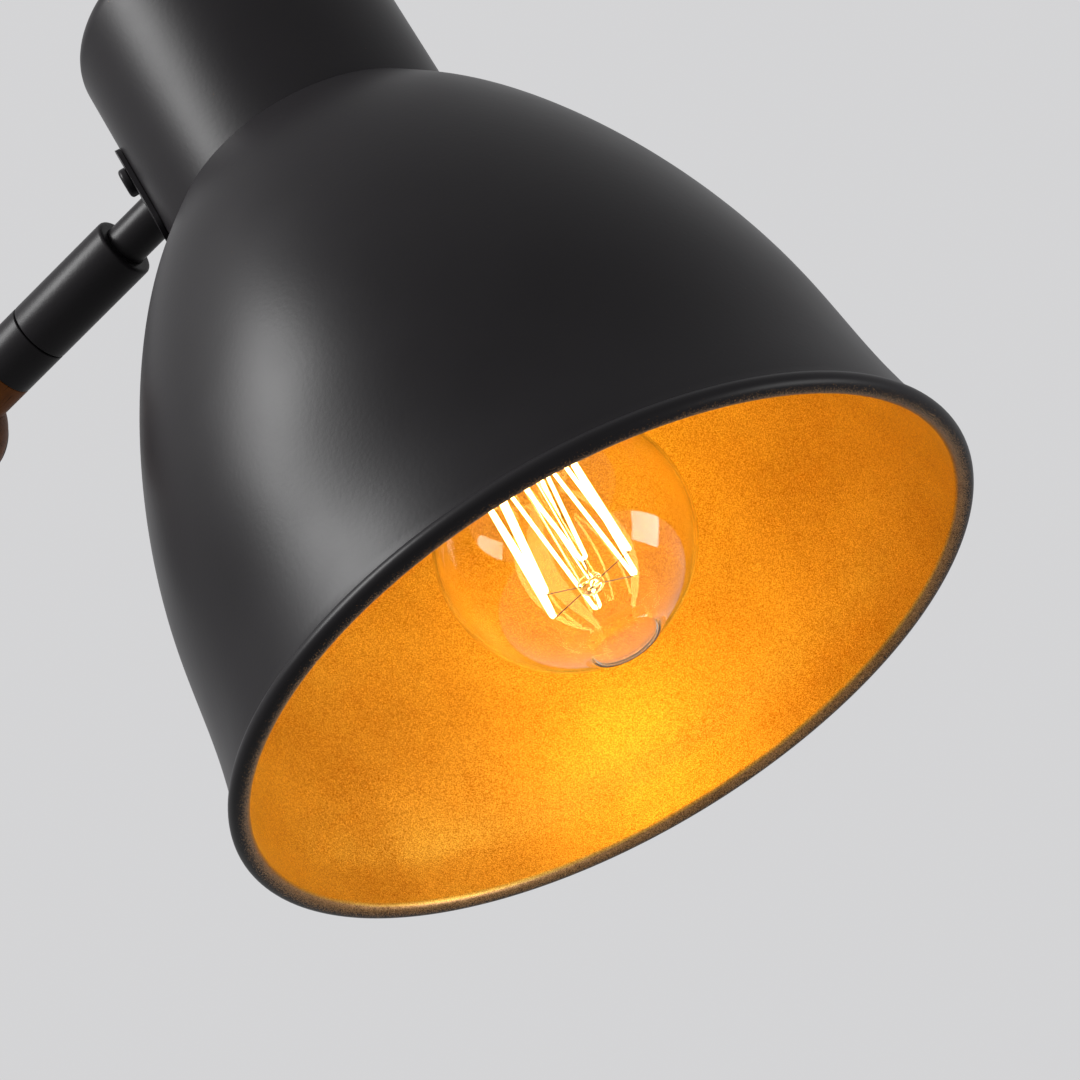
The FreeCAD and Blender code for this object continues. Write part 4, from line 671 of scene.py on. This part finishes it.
def screw_cap():
    """A rolled sleeve, with the wave of its thread fading out at both ends."""
    shoulder = CAP_END - CAP_LIP
    heights = np.linspace(CAP_START, shoulder, 60)
    outer = [(CAP_RADIUS, height) for height in heights]
    top = [(CAP_RADIUS - CAP_LIP, CAP_END), (CAP_RADIUS - 2.1, CAP_END - 0.5)]
    inner = [(CAP_RADIUS - THREAD_DEPTH - CAP_WALL, height) for height in heights[::-1]]
    mesh = turn_outline("cap_rolled", outer + top + inner, HOLDER, 72)
    back = HOLDER.inverted()
    for vertex in mesh.vertices:
        place = back @ vertex.co
        radius = math.hypot(place.x, place.y)
        if radius < CAP_RADIUS - 0.01:
            continue
        turn = math.atan2(place.y, place.x) / (2 * math.pi)
        wave = 0.5 - 0.5 * math.cos(2 * math.pi * (place.z / THREAD_PITCH + THREAD_HAND * turn))
        fade = min((place.z - CAP_START) / THREAD_RISE, (shoulder - place.z) / THREAD_FALL, 1)
        shrink = 1 - THREAD_DEPTH * wave * max(fade, 0) / radius
        vertex.co = HOLDER @ Vector((place.x * shrink, place.y * shrink, place.z))
    finish_mesh(mesh, nickel, crease=60)
    return mesh


hang_piece("cap_rolled", screw_cap(), "head", "cap_nickel", "bulb_cap")
turned_piece("cap_insulator", [
    (0, INSULATOR_START), (INSULATOR_RADIUS, INSULATOR_START), (INSULATOR_RADIUS, CAP_END, 0.4),
    (5.0, CONTACT_START, 0.4), (0, CONTACT_START),
], HOLDER, black_glass, "head", "cap_black_glass")
turned_piece("cap_contact", [
    (0, CONTACT_START), (4.8, CONTACT_START, 0.3), (4.0, CONTACT_END, 0.8), (0, CONTACT_END),
], HOLDER, solder, "head", "cap_solder")
print("cap made")

# %% [markdown]
# ## Stem, filament and supports
#
# A glass stem carries a button in the middle of the globe. Fine wires stand out from the stem, each with
# its end curled into a hook, and one long filament zigzags up and down over them: a cage of bright strands.
# The strands and wires repeat round the middle line, so Geometry Nodes make them. Each tree has named
# inputs for its sizes, and its result is turned into a plain mesh, because the model may hold no live
# instances. First come the helpers that start, end and run a tree.

# %% Helpers for trees of geometry nodes
STEM_RADIUS, BUTTON_RADIUS, BUTTON_HEIGHT = 2.0, 3.0, 16.6
CAGE_BOTTOM, CAGE_TOP = 17.1, 62.1
CAGE_RADIUS, CAGE_TOP_RADIUS = 12.0, 11.0
HOOKS = 6


def new_tree(name, **sizes):
    """An empty tree with a named input for each size. Returns the tree and a Wire for each input."""
    tree = bpy.data.node_groups.new(name, "GeometryNodeTree")
    tree.interface.new_socket("Geometry", in_out="OUTPUT", socket_type="NodeSocketGeometry")
    kinds = {int: "NodeSocketInt", float: "NodeSocketFloat", bpy.types.Object: "NodeSocketObject"}
    for label, value in sizes.items():
        tree.interface.new_socket(label, in_out="INPUT", socket_type=kinds[type(value)])
    inputs = tree.nodes.new("NodeGroupInput")
    return tree, {label: Wire(tree, inputs.outputs[label]) for label in sizes}


def end_tree(tree, geometry, material):
    """Realize the instances, give them their finish and lead them out of the tree."""
    real = geometry.add("GeometryNodeRealizeInstances", None, Geometry=geometry)
    painted = geometry.add("GeometryNodeSetMaterial", None, Geometry=geometry.out(real), Material=material)
    way_out = tree.nodes.new("NodeGroupOutput")
    geometry.fill(way_out.inputs["Geometry"], geometry.out(painted))


def grow(tree, axes, **sizes):
    """Run a tree with its sizes and return the result as a plain mesh in its place."""
    holder = bpy.data.objects.new(tree.name, bpy.data.meshes.new(tree.name))
    bpy.context.scene.collection.objects.link(holder)
    modifier = holder.modifiers.new("grow", "NODES")
    modifier.node_group = tree
    for item in tree.interface.items_tree:
        if item.item_type == "SOCKET" and item.in_out == "INPUT":
            modifier[item.identifier] = sizes[item.name]
    bpy.context.view_layer.update()
    ready = holder.evaluated_get(bpy.context.evaluated_depsgraph_get())
    mesh = bpy.data.meshes.new_from_object(ready)
    bpy.data.objects.remove(holder, do_unlink=True)
    mesh.transform(axes)
    return mesh


def wire_tube(path, radius, sides):
    """A round tube of a given radius along a curve, with closed ends."""
    section = path.add("GeometryNodeCurvePrimitiveCircle", {"mode": "RADIUS"}, Resolution=sides)
    path.fill(section.inputs["Radius"], radius)
    tube = path.add("GeometryNodeCurveToMesh", None, Curve=path, Profile_Curve=path.out(section),
                    Fill_Caps=True)
    return path.out(tube)


print("tree helpers ready")

# %% [markdown]
# The filament is one long wire. The tree bends a ring of points into a zigzag: every pair of points goes to
# the next hook, by turns on the low ring and on the high one, and stands a wire's bend apart. A fillet
# rounds the bends, and a small circle swept along the line makes it a wire. It glows far brighter than
# white.


# %% Filament
def filament_tree(material, **sizes):
    """One wire that zigzags between two rings of hooks, with two points close together round each hook."""
    tree, size = new_tree("filament_zigzag", **sizes)
    start = size["Hooks"]
    ring = start.add("GeometryNodeCurvePrimitiveCircle", {"mode": "RADIUS"}, Resolution=start * 4, Radius=1.0)
    index = start.out(start.add("GeometryNodeInputIndex"))
    hook = index.math("FLOOR", index * 0.5)
    side_of_hook = index - hook * 2 - 0.5
    high = hook.math("MODULO", hook, 2.0)
    radius = size["Low Radius"] + high * (size["High Radius"] - size["Low Radius"])
    angle = hook * math.pi / start + side_of_hook * size["Gap"] / radius
    height = size["Low Height"] + high * (size["High Height"] - size["Low Height"])
    place = start.add("ShaderNodeCombineXYZ", None, X=radius * angle.math("COSINE", angle),
                      Y=radius * angle.math("SINE", angle), Z=height)
    zigzag = start.add("GeometryNodeSetPosition", None, Geometry=start.out(ring),
                       Position=start.out(place))
    bent = start.add("GeometryNodeFilletCurve", {"mode": "POLY"}, Curve=start.out(zigzag), Count=6,
                     Radius=size["Bend"])
    end_tree(tree, wire_tube(start.out(bent), size["Wire"], 8), material)
    return tree


filament_sizes = {"Hooks": HOOKS, "Low Radius": CAGE_RADIUS, "High Radius": CAGE_TOP_RADIUS,
                  "Low Height": CAGE_BOTTOM, "High Height": CAGE_TOP, "Gap": 1.3, "Bend": 0.55, "Wire": 0.46}
filament_mesh = grow(filament_tree(filament_glow, **filament_sizes), HOLDER, **filament_sizes)
finish_mesh(filament_mesh, filament_glow, crease=80)
hang_piece("filament_zigzag", filament_mesh, "head", "filament_glow", "filament")
print("filament faces:", len(filament_mesh.polygons))

# %% [markdown]
# The supports are fine dark wires that end in a hook round the filament. One spoke is a straight line and
# an arc, made into wire together. Instance on Points sets copies of it round the stem, each turned to its
# own angle. The same tree makes both rings, a low one on the button and a high one, half a step further
# round.


# %% Support wires
def support_tree(material, **sizes):
    """Wires that stand out from the stem like spokes, each with a hook at its end."""
    tree, size = new_tree("support_wires", **sizes)
    start = size["Count"]
    line_end = start.add("ShaderNodeCombineXYZ", None, X=size["Reach"])
    line_start = start.add("ShaderNodeCombineXYZ", None, X=size["Root"])
    spoke = start.add("GeometryNodeCurvePrimitiveLine", None, Start=start.out(line_start),
                      End=start.out(line_end))
    hook = start.add("GeometryNodeCurveArc", {"mode": "RADIUS"}, Resolution=12,
                     Start_Angle=math.radians(-90), Sweep_Angle=math.radians(250))
    start.fill(hook.inputs["Radius"], size["Hook"])
    at_end = start.add("ShaderNodeCombineXYZ", None, X=size["Reach"], Y=size["Hook"])
    moved_hook = start.add("GeometryNodeTransform", None, Geometry=start.out(hook),
                           Translation=start.out(at_end))
    both = start.add("GeometryNodeJoinGeometry")
    for piece in (start.out(spoke), start.out(moved_hook)):
        tree.links.new(piece.socket, both.inputs["Geometry"])
    spoke_wire = wire_tube(start.out(both), size["Wire"], 6)
    upright = start.add("GeometryNodeTransform", None, Geometry=spoke_wire,
                        Rotation=(math.radians(90), 0, 0))
    points = start.add("GeometryNodePoints", None, Count=start)
    index = start.out(start.add("GeometryNodeInputIndex"))
    turn = start.add("ShaderNodeCombineXYZ", None, Z=(index + size["Offset"]) * 2 * math.pi / start)
    level = start.add("ShaderNodeCombineXYZ", None, Z=size["Height"])
    start.fill(points.inputs["Position"], start.out(level))
    spread = start.add("GeometryNodeInstanceOnPoints", None, Points=start.out(points),
                       Instance=start.out(upright), Rotation=start.out(turn))
    end_tree(tree, start.out(spread), material)
    return tree


ROOT_DEPTH, HOOK_INSET, HOOK_RADIUS, WIRE_RADIUS = 0.2, 0.3, 0.5, 0.16


def support_ring(root, reach, height, offset):
    """A ring of hooked wires, from the stem's skin out to the filament."""
    sizes = {"Count": HOOKS, "Root": root - ROOT_DEPTH, "Reach": reach - HOOK_INSET, "Hook": HOOK_RADIUS,
             "Wire": WIRE_RADIUS, "Offset": offset, "Height": height}
    return grow(support_tree(wire_dark, **sizes), HOLDER, **sizes)


def joined_mesh(name, meshes):
    """One mesh from several."""
    shape = bmesh.new()
    for mesh in meshes:
        shape.from_mesh(mesh)
    result = bpy.data.meshes.new(name)
    shape.to_mesh(result)
    shape.free()
    return result


supports = joined_mesh("support_hooks", [
    support_ring(BUTTON_RADIUS, CAGE_RADIUS, BUTTON_HEIGHT, 0.0),
    support_ring(STEM_RADIUS, CAGE_TOP_RADIUS, CAGE_TOP + 0.9, 0.5),
])
finish_mesh(supports, wire_dark, crease=80)
hang_piece("support_hooks", supports, "head", "support_wire", "filament_supports")
print("support faces:", len(supports.polygons))

# %% [markdown]
# The stem is one turned glass rod: a flat round button at its lower end, where the low wires are melted in,
# a thin middle, and a flare at its upper end that is melted to the throat of the globe.

# %% Glass stem
FLARE_RADIUS, FLARE_END = CAP_RADIUS - 1.9, CAP_START + 5.5
turned_piece("bulb_stem", [
    (0, BUTTON_HEIGHT - 1.6), (BUTTON_RADIUS, BUTTON_HEIGHT - 1.4, 1.2),
    (BUTTON_RADIUS, BUTTON_HEIGHT + 1.4, 1.2), (STEM_RADIUS, BUTTON_HEIGHT + 1.8, 0.3),
    (STEM_RADIUS, CAGE_TOP + 4, 3), (FLARE_RADIUS, CAP_START + 4, 1), (FLARE_RADIUS, FLARE_END),
    (0, FLARE_END),
], HOLDER, bulb_clear, "head", "bulb_clear_glass")
print("stem made")

# %% [markdown]
# ## Tubes, ferrules and rods
#
# The arm is a chain of turned pieces on two lines. Their lengths come from the measured model: each node is
# looked at along its own line, and its ends give the piece its ends. Only the radii, the roundings
# and a few short lengths are written here. Painted edges are rounded by a few tenths of a millimetre, and
# that is what catches the light.

# %% Rods of the arm
ROD, TUBE = 8.25, 5.05


def span(node, axes):
    """Where a node starts and ends along the third of a set of axes, in millimetres."""
    back = axes.inverted()
    along = [(back @ vertex.co).z for vertex in frame["nodes"][node].data.vertices]
    return min(along), max(along)


def tube_outline(inner, outer, start, end, first=0.3, last=0.3):
    return [(inner, start), (outer, start, first), (outer, end, last), (inner, end)]


ARM_LINE, SHORT_LINE = ARM @ ALONG_X, SHORT @ ALONG_X
rod_start, rod_end = span("lower_wood_rod", ARM_LINE)
turned_piece("lower_wood_rod", tube_outline(TUBE, ROD, rod_start, rod_end),
             ARM_LINE, arm_wood, "lower_arm", "dark_wood")
sleeve_start, sleeve_end = span("wood_sleeve", SHORT_LINE)
turned_piece("wood_sleeve", tube_outline(TUBE, ROD, sleeve_start, sleeve_end, 0, 0.3),
             SHORT_LINE, hub_wood, "upper_arm", "dark_wood")
print("wood rod from", round(rod_start, 1), "to", round(rod_end, 1))

# %% [markdown]
# The black ferrule is two pieces. The collar behind is fixed and ends in a thinner spigot, and the sleeve
# in front turns on that spigot. They stand a fraction of a millimetre apart, which shows as a fine ring.
# The stub tube in front has a shoulder that sits on the strap and a thinner end that goes through the
# neck's wall.

# %% Collar, sleeve and stub tube
SEAM, SPIGOT, RUNNING_GAP = 0.3, 5.95, 0.05
FERRULE_EDGE, SEAM_EDGE = 0.9, 0.35
COLLAR_BORE, COLLAR_SEAT = 3.8, 6
BEARING, CLIP_ROOM, CLIP_RADIUS, SLEEVE_MOUTH = 8.0, 3, 6.85, 5.55
BORE, STUB, STUB_TAIL, STUB_COLLAR, STUB_COLLAR_LENGTH = 3.5, 5.5, 4.95, 6.7, 3
STRAP_FACE = NECK_RADIUS + 1.4

collar_start, spigot_end = span("rear_collar", SHORT_LINE)
swivel_start, swivel_end = span("swivel_sleeve", SHORT_LINE)
turned_piece("rear_collar", [
    (TUBE, collar_start), (ROD, collar_start, 0.3), (ROD, swivel_start - SEAM, SEAM_EDGE),
    (SPIGOT, swivel_start - SEAM), (SPIGOT, spigot_end, 0.4), (COLLAR_BORE, spigot_end),
    (COLLAR_BORE, collar_start + COLLAR_SEAT), (TUBE, collar_start + COLLAR_SEAT),
], SHORT_LINE, powder_black, "upper_arm", "black_steel")
turned_piece("swivel_sleeve", [
    (SPIGOT + RUNNING_GAP, swivel_start), (ROD, swivel_start, SEAM_EDGE), (ROD, swivel_end, FERRULE_EDGE),
    (SLEEVE_MOUTH, swivel_end, 0.2), (SLEEVE_MOUTH, swivel_end - CLIP_ROOM),
    (CLIP_RADIUS, swivel_end - CLIP_ROOM), (CLIP_RADIUS, swivel_start + BEARING),
    (SPIGOT + RUNNING_GAP, swivel_start + BEARING),
], SHORT_LINE, powder_black, "head", "black_steel")

stub_start, stub_end = span("stub_tube", SHORT_LINE)
shoulder, collar_end = HEAD_REACH - STRAP_FACE, stub_start + STUB_COLLAR_LENGTH
turned_piece("stub_tube", [
    (BORE, stub_start), (STUB_COLLAR, stub_start, 0.3), (STUB_COLLAR, collar_end), (STUB, collar_end),
    (STUB, shoulder), (STUB_TAIL, shoulder), (STUB_TAIL, stub_end, 0.4), (BORE, stub_end),
], SHORT_LINE, powder_black, "head", "black_steel")
print("ferrule from", round(collar_start, 1), "to", round(swivel_end, 1))

# %% [markdown]
# ## Pieces that aren't turned
#
# Forks, knuckle, hub, knob, strap and brackets have outlines that a lathe can't make. Their measured shapes
# are right, but they come as loose triangles with razor edges, which no casting or bent sheet has. So each
# is copied and its points are merged, flat faces become one face, and a Bevel modifier rounds the real
# edges.

# %% Soft edges for the measured shapes
SAME_POINT = 0.002
FLAT_ANGLE, REAL_EDGE_ANGLE = 0.5, 30.0


def dressed_piece(node, material, body, slot, edge):
    """A copy of a measured node with soft edges, in its place."""
    shape = bmesh.new()
    shape.from_mesh(frame["nodes"][node].data)
    bmesh.ops.remove_doubles(shape, verts=shape.verts, dist=SAME_POINT * MM)
    bmesh.ops.dissolve_limit(shape, angle_limit=math.radians(FLAT_ANGLE), verts=shape.verts,
                             edges=shape.edges)
    mesh = bpy.data.meshes.new(f"{node}_dressed")
    shape.to_mesh(mesh)
    shape.free()
    finish_mesh(mesh, material, REAL_EDGE_ANGLE)
    piece = hang_piece(f"{node}_dressed", mesh, body, slot, node)
    if edge:
        bevel = piece.modifiers.new("soft edges", "BEVEL")
        bevel.width = edge * MM
        bevel.segments = 2
        bevel.limit_method = "ANGLE"
        bevel.angle_limit = math.radians(REAL_EDGE_ANGLE)
        bevel.harden_normals = True
    return piece


DRESSED = {
    "canopy": (powder_black, "black_steel", 0.25),
    "wall_fork": (powder_black, "black_steel", 0.5),
    "arm_knuckle": (powder_black, "black_steel", 0.4),
    "elbow_fork": (powder_black, "black_steel", 0.6),
    "swing_pin": (fastener_black, "black_steel", 0.2),
    "pin_screw": (fastener_black, "black_steel", 0.2),
    "pivot_bolt": (fastener_black, "black_steel", 0.2),
    "knob_washer": (fastener_black, "black_steel", 0.15),
    "clamp_knob": (black_plastic, "black_plastic", 0.4),
    "elbow_hub": (hub_wood, "dark_wood", 0.4),
    "neck_saddle": (powder_black, "black_steel", 0.25),
    "switch_body": (black_plastic, "black_plastic", 0.3),
    "rocker_button": (black_plastic, "black_plastic", 0.4),
    "lampholder_body": (black_plastic, "black_plastic", 0.3),
    "lampholder_cap": (black_plastic, "black_plastic", 0.4),
    "holder_bracket": (zinc, "zinc_steel", 0.2),
    "wall_bracket": (zinc, "zinc_steel", 0.2),
    "terminal_block": (white_plastic, "white_plastic", 0.3),
    "earth_screw": (zinc, "zinc_steel", 0.15),
    "stub_nut": (zinc, "zinc_steel", 0.2),
    "nipple_nuts": (zinc, "zinc_steel", 0.2),
    "fork_nut": (zinc, "zinc_steel", 0.2),
    "lampholder_thread": (brass, "brass", 0.0),
    "fork_nipple": (zinc, "zinc_steel", 0.15),
    "holder_nipple": (zinc, "zinc_steel", 0.15),
}
bodies = frame["record"]["behaviour"]["bodies"]
body_of = {node: body for body, nodes in bodies.items() for node in nodes}
dressed = {node: dressed_piece(node, material, body_of[node], slot, edge)
           for node, (material, slot, edge) in DRESSED.items()}
print("dressed pieces:", len(dressed))

# %% [markdown]
# A casting is a little smaller where it leaves its mould. The fork's two round cheeks narrow by a
# millimetre towards their outer faces, so that the ball hides the far one when it is looked at from the
# front. The draft is worked out point by point: each point of a cheek's round end moves towards the elbow's
# axis, and the points near the bolt's hole and on the fork's stem stay.

# %% Draft on the fork's cheeks
CHEEK_WIDTH, CHEEK_DRAFT, HOLE_RIM, ROUND_END = 3.0, 1.0, 8.0, -0.1


def narrow_cheeks(mesh):
    """Move the round ends of the cheeks towards the elbow's axis, the more the farther out they are."""
    places = [ELBOW.inverted() @ vertex.co for vertex in mesh.vertices]
    inside = max(abs(place.y) for place in places) - CHEEK_WIDTH
    for vertex, place in zip(mesh.vertices, places):
        radius = math.hypot(place.x, place.z)
        depth = abs(place.y) - inside
        if place.x > ROUND_END and radius > HOLE_RIM and depth > 0:
            shrink = 1 - CHEEK_DRAFT * depth / CHEEK_WIDTH / radius
            vertex.co = ELBOW @ Vector((place.x * shrink, place.y, place.z * shrink))


narrow_cheeks(dressed["elbow_fork"].data)
print("cheeks narrowed")

# %% [markdown]
# ## Screws
#
# The strap and the canopy are held by round-headed screws with a cross recess. One screw is turned and cut
# with a Boolean modifier, and a tree of nodes sets copies of it round a ring, each pointing outwards.

# %% One screw with a cross recess
SLOT_WIDTH, SLOT_LENGTH, SLOT_HEIGHT = 0.8, 1.15, 1.2


def cross_screw(name, head_radius, head_height, shank_radius, shank_length):
    """One screw along Z, with its head's seat at zero."""
    mesh = turn_outline(name, rounded_outline([
        (0, -shank_length), (shank_radius, -shank_length, 0.4), (shank_radius, 0),
        (head_radius, 0, 0.2), (head_radius, head_height, head_height * 0.75), (0, head_height),
    ], steps=8), Matrix.Identity(4), 40)
    screw = bpy.data.objects.new(name, mesh)
    bpy.context.scene.collection.objects.link(screw)
    cutter_shape = bmesh.new()
    arm = head_radius * SLOT_LENGTH
    place = Matrix.Translation((0, 0, head_height))
    for length, width in ((arm, SLOT_WIDTH), (SLOT_WIDTH, arm)):
        size = Matrix.Diagonal((length, width, head_height * SLOT_HEIGHT, 1))
        bmesh.ops.create_cube(cutter_shape, size=1, matrix=place @ size)
    cutter_mesh = bpy.data.meshes.new("cross")
    cutter_shape.to_mesh(cutter_mesh)
    cutter = bpy.data.objects.new("cross", cutter_mesh)
    bpy.context.scene.collection.objects.link(cutter)
    cut = screw.modifiers.new("recess", "BOOLEAN")
    cut.object = cutter
    cut.operation = "DIFFERENCE"
    cut.solver = "EXACT"
    cut.use_self = True
    bpy.context.view_layer.update()
    ready = screw.evaluated_get(bpy.context.evaluated_depsgraph_get())
    screw.data = bpy.data.meshes.new_from_object(ready)
    screw.modifiers.clear()
    bpy.data.objects.remove(cutter, do_unlink=True)
    return screw


strap_screw = cross_screw("strap_screw", 3.7, 2.0, 1.95, 9.0)
side_screw = cross_screw("side_screw", 3.6, 2.2, 1.95, 7.0)
print("screw faces:", len(strap_screw.data.polygons))


# %% Screws in rings
def screw_tree(material, **sizes):
    """Copies of a screw on a ring about Z, with their heads outwards."""
    tree, size = new_tree("screw_ring", **sizes)
    start = size["Count"]
    index = start.out(start.add("GeometryNodeInputIndex"))
    angle = size["First"] + index * size["Step"]
    place = start.add("ShaderNodeCombineXYZ", None, X=size["Ring"] * angle.math("COSINE", angle),
                      Y=size["Ring"] * angle.math("SINE", angle), Z=size["Height"])
    points = start.add("GeometryNodePoints", None, Count=start, Position=start.out(place))
    turn = start.add("ShaderNodeCombineXYZ", None, Y=math.radians(90), Z=angle)
    screw = start.add("GeometryNodeObjectInfo", None, Object=size["Screw"])
    spread = start.add("GeometryNodeInstanceOnPoints", None, Points=start.out(points),
                       Instance=start.out(screw, "Geometry"), Rotation=start.out(turn))
    end_tree(tree, start.out(spread), material)
    return tree


def screw_ring(node, axes, screw, ring, height, first, step):
    """Two screws on a ring, at angles in degrees, in place of a measured node."""
    sizes = {"Count": 2, "Screw": screw, "Ring": ring, "Height": height, "First": math.radians(first),
             "Step": math.radians(step)}
    mesh = grow(screw_tree(fastener_black, **sizes), axes, **sizes)
    finish_mesh(mesh, fastener_black, crease=50)
    bpy.data.objects.remove(screw, do_unlink=True)
    hang_piece(f"{node}_cross", mesh, body_of[node], "black_steel", node)


CANOPY_RADIUS, CANOPY_SCREW_HEIGHT = 55.0, 8.0
screw_ring("saddle_screws", HEAD, strap_screw, STRAP_FACE, STUB_HEIGHT, 155, 50)
screw_ring("canopy_screws", WALL, side_screw, CANOPY_RADIUS, CANOPY_SCREW_HEIGHT, 0, 180)
print("screws made")

# %% [markdown]
# ## What stays as measured
#
# The pieces that are left are inside the light. Their measured shapes are right as they are, so they keep
# them, and only take their finishes.

# %% Finishes for the inner pieces
INNER = {
    zinc: ["terminal_screws", "tooth_washer", "lower_core_tube", "upper_core_tube", "circlip", "stub_washer",
           "saddle_nuts"],
    brass: ["terminal_barrels", "switch_blades", "pivot_bush", "knob_insert", "lampholder_contact"],
    nylon: ["swing_washers", "swivel_washer"],
    fibre: ["friction_washers"],
    fastener_black: ["grub_screws"],
}
for material, nodes in INNER.items():
    for node in nodes:
        mesh_slots = frame["nodes"][node].data.materials
        mesh_slots.clear()
        mesh_slots.append(material)
print("inner pieces:", sum(len(nodes) for nodes in INNER.values()))

# %% [markdown]
# ## Room and light
#
# A pale floor far below and a pale world make a plain studio. The world that is seen, be it straight, in a
# mirror image or through glass, has one colour and the world that lights the pieces another, which Light
# Path tells apart.

# %% Floor
FLOOR_HEIGHT, FLOOR_REACH = -3.5, 60

floor_mesh = bpy.data.meshes.new("floor")
floor_corners = [(x * FLOOR_REACH, y * FLOOR_REACH, FLOOR_HEIGHT)
                 for x, y in ((-1, -1), (1, -1), (1, 1), (-1, 1))]
floor_mesh.from_pydata(floor_corners, [], [(0, 1, 2, 3)])
floor_paint, floor_shader, floor_place = new_material("pale_floor", Roughness=0.7)
floor_tone = floor_place.noise(3.0, 3.0).blend(colour(0.70, 0.70, 0.70), colour(0.76, 0.76, 0.76))
drive(floor_place, floor_shader, Base_Color=floor_tone)
floor_mesh.materials.append(floor_paint)
floor = bpy.data.objects.new("floor", floor_mesh)
bpy.context.scene.collection.objects.link(floor)
print("floor at", FLOOR_HEIGHT)

# %% World
SEEN_WORLD = (0.66, 0.66, 0.67)
WORLD_LIGHT = 0.7

world = bpy.data.worlds.new("studio")
bpy.context.scene.world = world
world.use_nodes = True
tree = world.node_tree
lit = tree.nodes["Background"]
lit.inputs["Color"].default_value = (1, 1, 1, 1)
lit.inputs["Strength"].default_value = WORLD_LIGHT
start = Wire(tree, None)
seen = start.add("ShaderNodeBackground", None, Color=(*SEEN_WORLD, 1), Strength=1.0)
path = start.add("ShaderNodeLightPath")
camera_ray = start.out(path, "Is Camera Ray")
seen_rays = camera_ray.math("MAXIMUM", camera_ray, start.out(path, "Is Glossy Ray"))
seen_rays = seen_rays.math("MAXIMUM", seen_rays, start.out(path, "Is Transmission Ray"))
mixed = start.add("ShaderNodeMixShader", None, Fac=seen_rays)
tree.links.new(lit.outputs[0], mixed.inputs[1])
tree.links.new(seen.outputs[0], mixed.inputs[2])
tree.links.new(mixed.outputs[0], tree.nodes["World Output"].inputs["Surface"])
print("world made")

# %% [markdown]
# Three lamps light the shade. A wide soft one stands in front on the left and draws the long highlight down
# the bell. A weaker one stands low on the right and draws the small bright window on the globe. A warm one
# in the middle of the globe rides along with the head and lights the gold.

# %% Lamps
WINDOW_LEFT, WINDOW_RIGHT = (-0.735, -0.375, 0.42), (1.212, -0.556, 0.041)
RIGHT_AIM = (0.354, -0.302, -0.053)
SHADE_MIDDLE_HEIGHT, GLOW_HEIGHT = 90, 38


def soft_lamp(name, place, aim, width, height, energy):
    """A rectangular lamp that looks at a point and isn't seen itself."""
    lamp = bpy.data.lights.new(name, "AREA")
    lamp.shape = "RECTANGLE"
    lamp.size = width
    lamp.size_y = height
    lamp.energy = energy
    thing = bpy.data.objects.new(name, lamp)
    bpy.context.scene.collection.objects.link(thing)
    thing.location = place
    thing.rotation_euler = (Vector(aim) - Vector(place)).to_track_quat("-Z", "Y").to_euler()
    thing.visible_camera = False


shade_middle = HEAD @ Vector((0, 0, SHADE_MIDDLE_HEIGHT))
soft_lamp("window_left", WINDOW_LEFT, shade_middle, 0.28, 0.55, 23.0)
soft_lamp("window_right", WINDOW_RIGHT, RIGHT_AIM, 0.46, 0.36, 5.2)

glow = bpy.data.lights.new("bulb_light", "POINT")
glow.energy = 0.85
glow.color = (1.0, 0.88, 0.50)
glow.shadow_soft_size = 0.009
glow_lamp = bpy.data.objects.new("bulb_light", glow)
bpy.context.scene.collection.objects.link(glow_lamp)
glow_lamp.location = HOLDER @ Vector((0, 0, GLOW_HEIGHT))
glow_lamp.visible_camera = glow_lamp.visible_glossy = glow_lamp.visible_transmission = False
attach(glow_lamp, "head")
print("lamps made")

# %% [markdown]
# ## Finish
#
# Colours are shown as they are, with no film look.

# %% View
bpy.context.scene.view_settings.view_transform = "Standard"
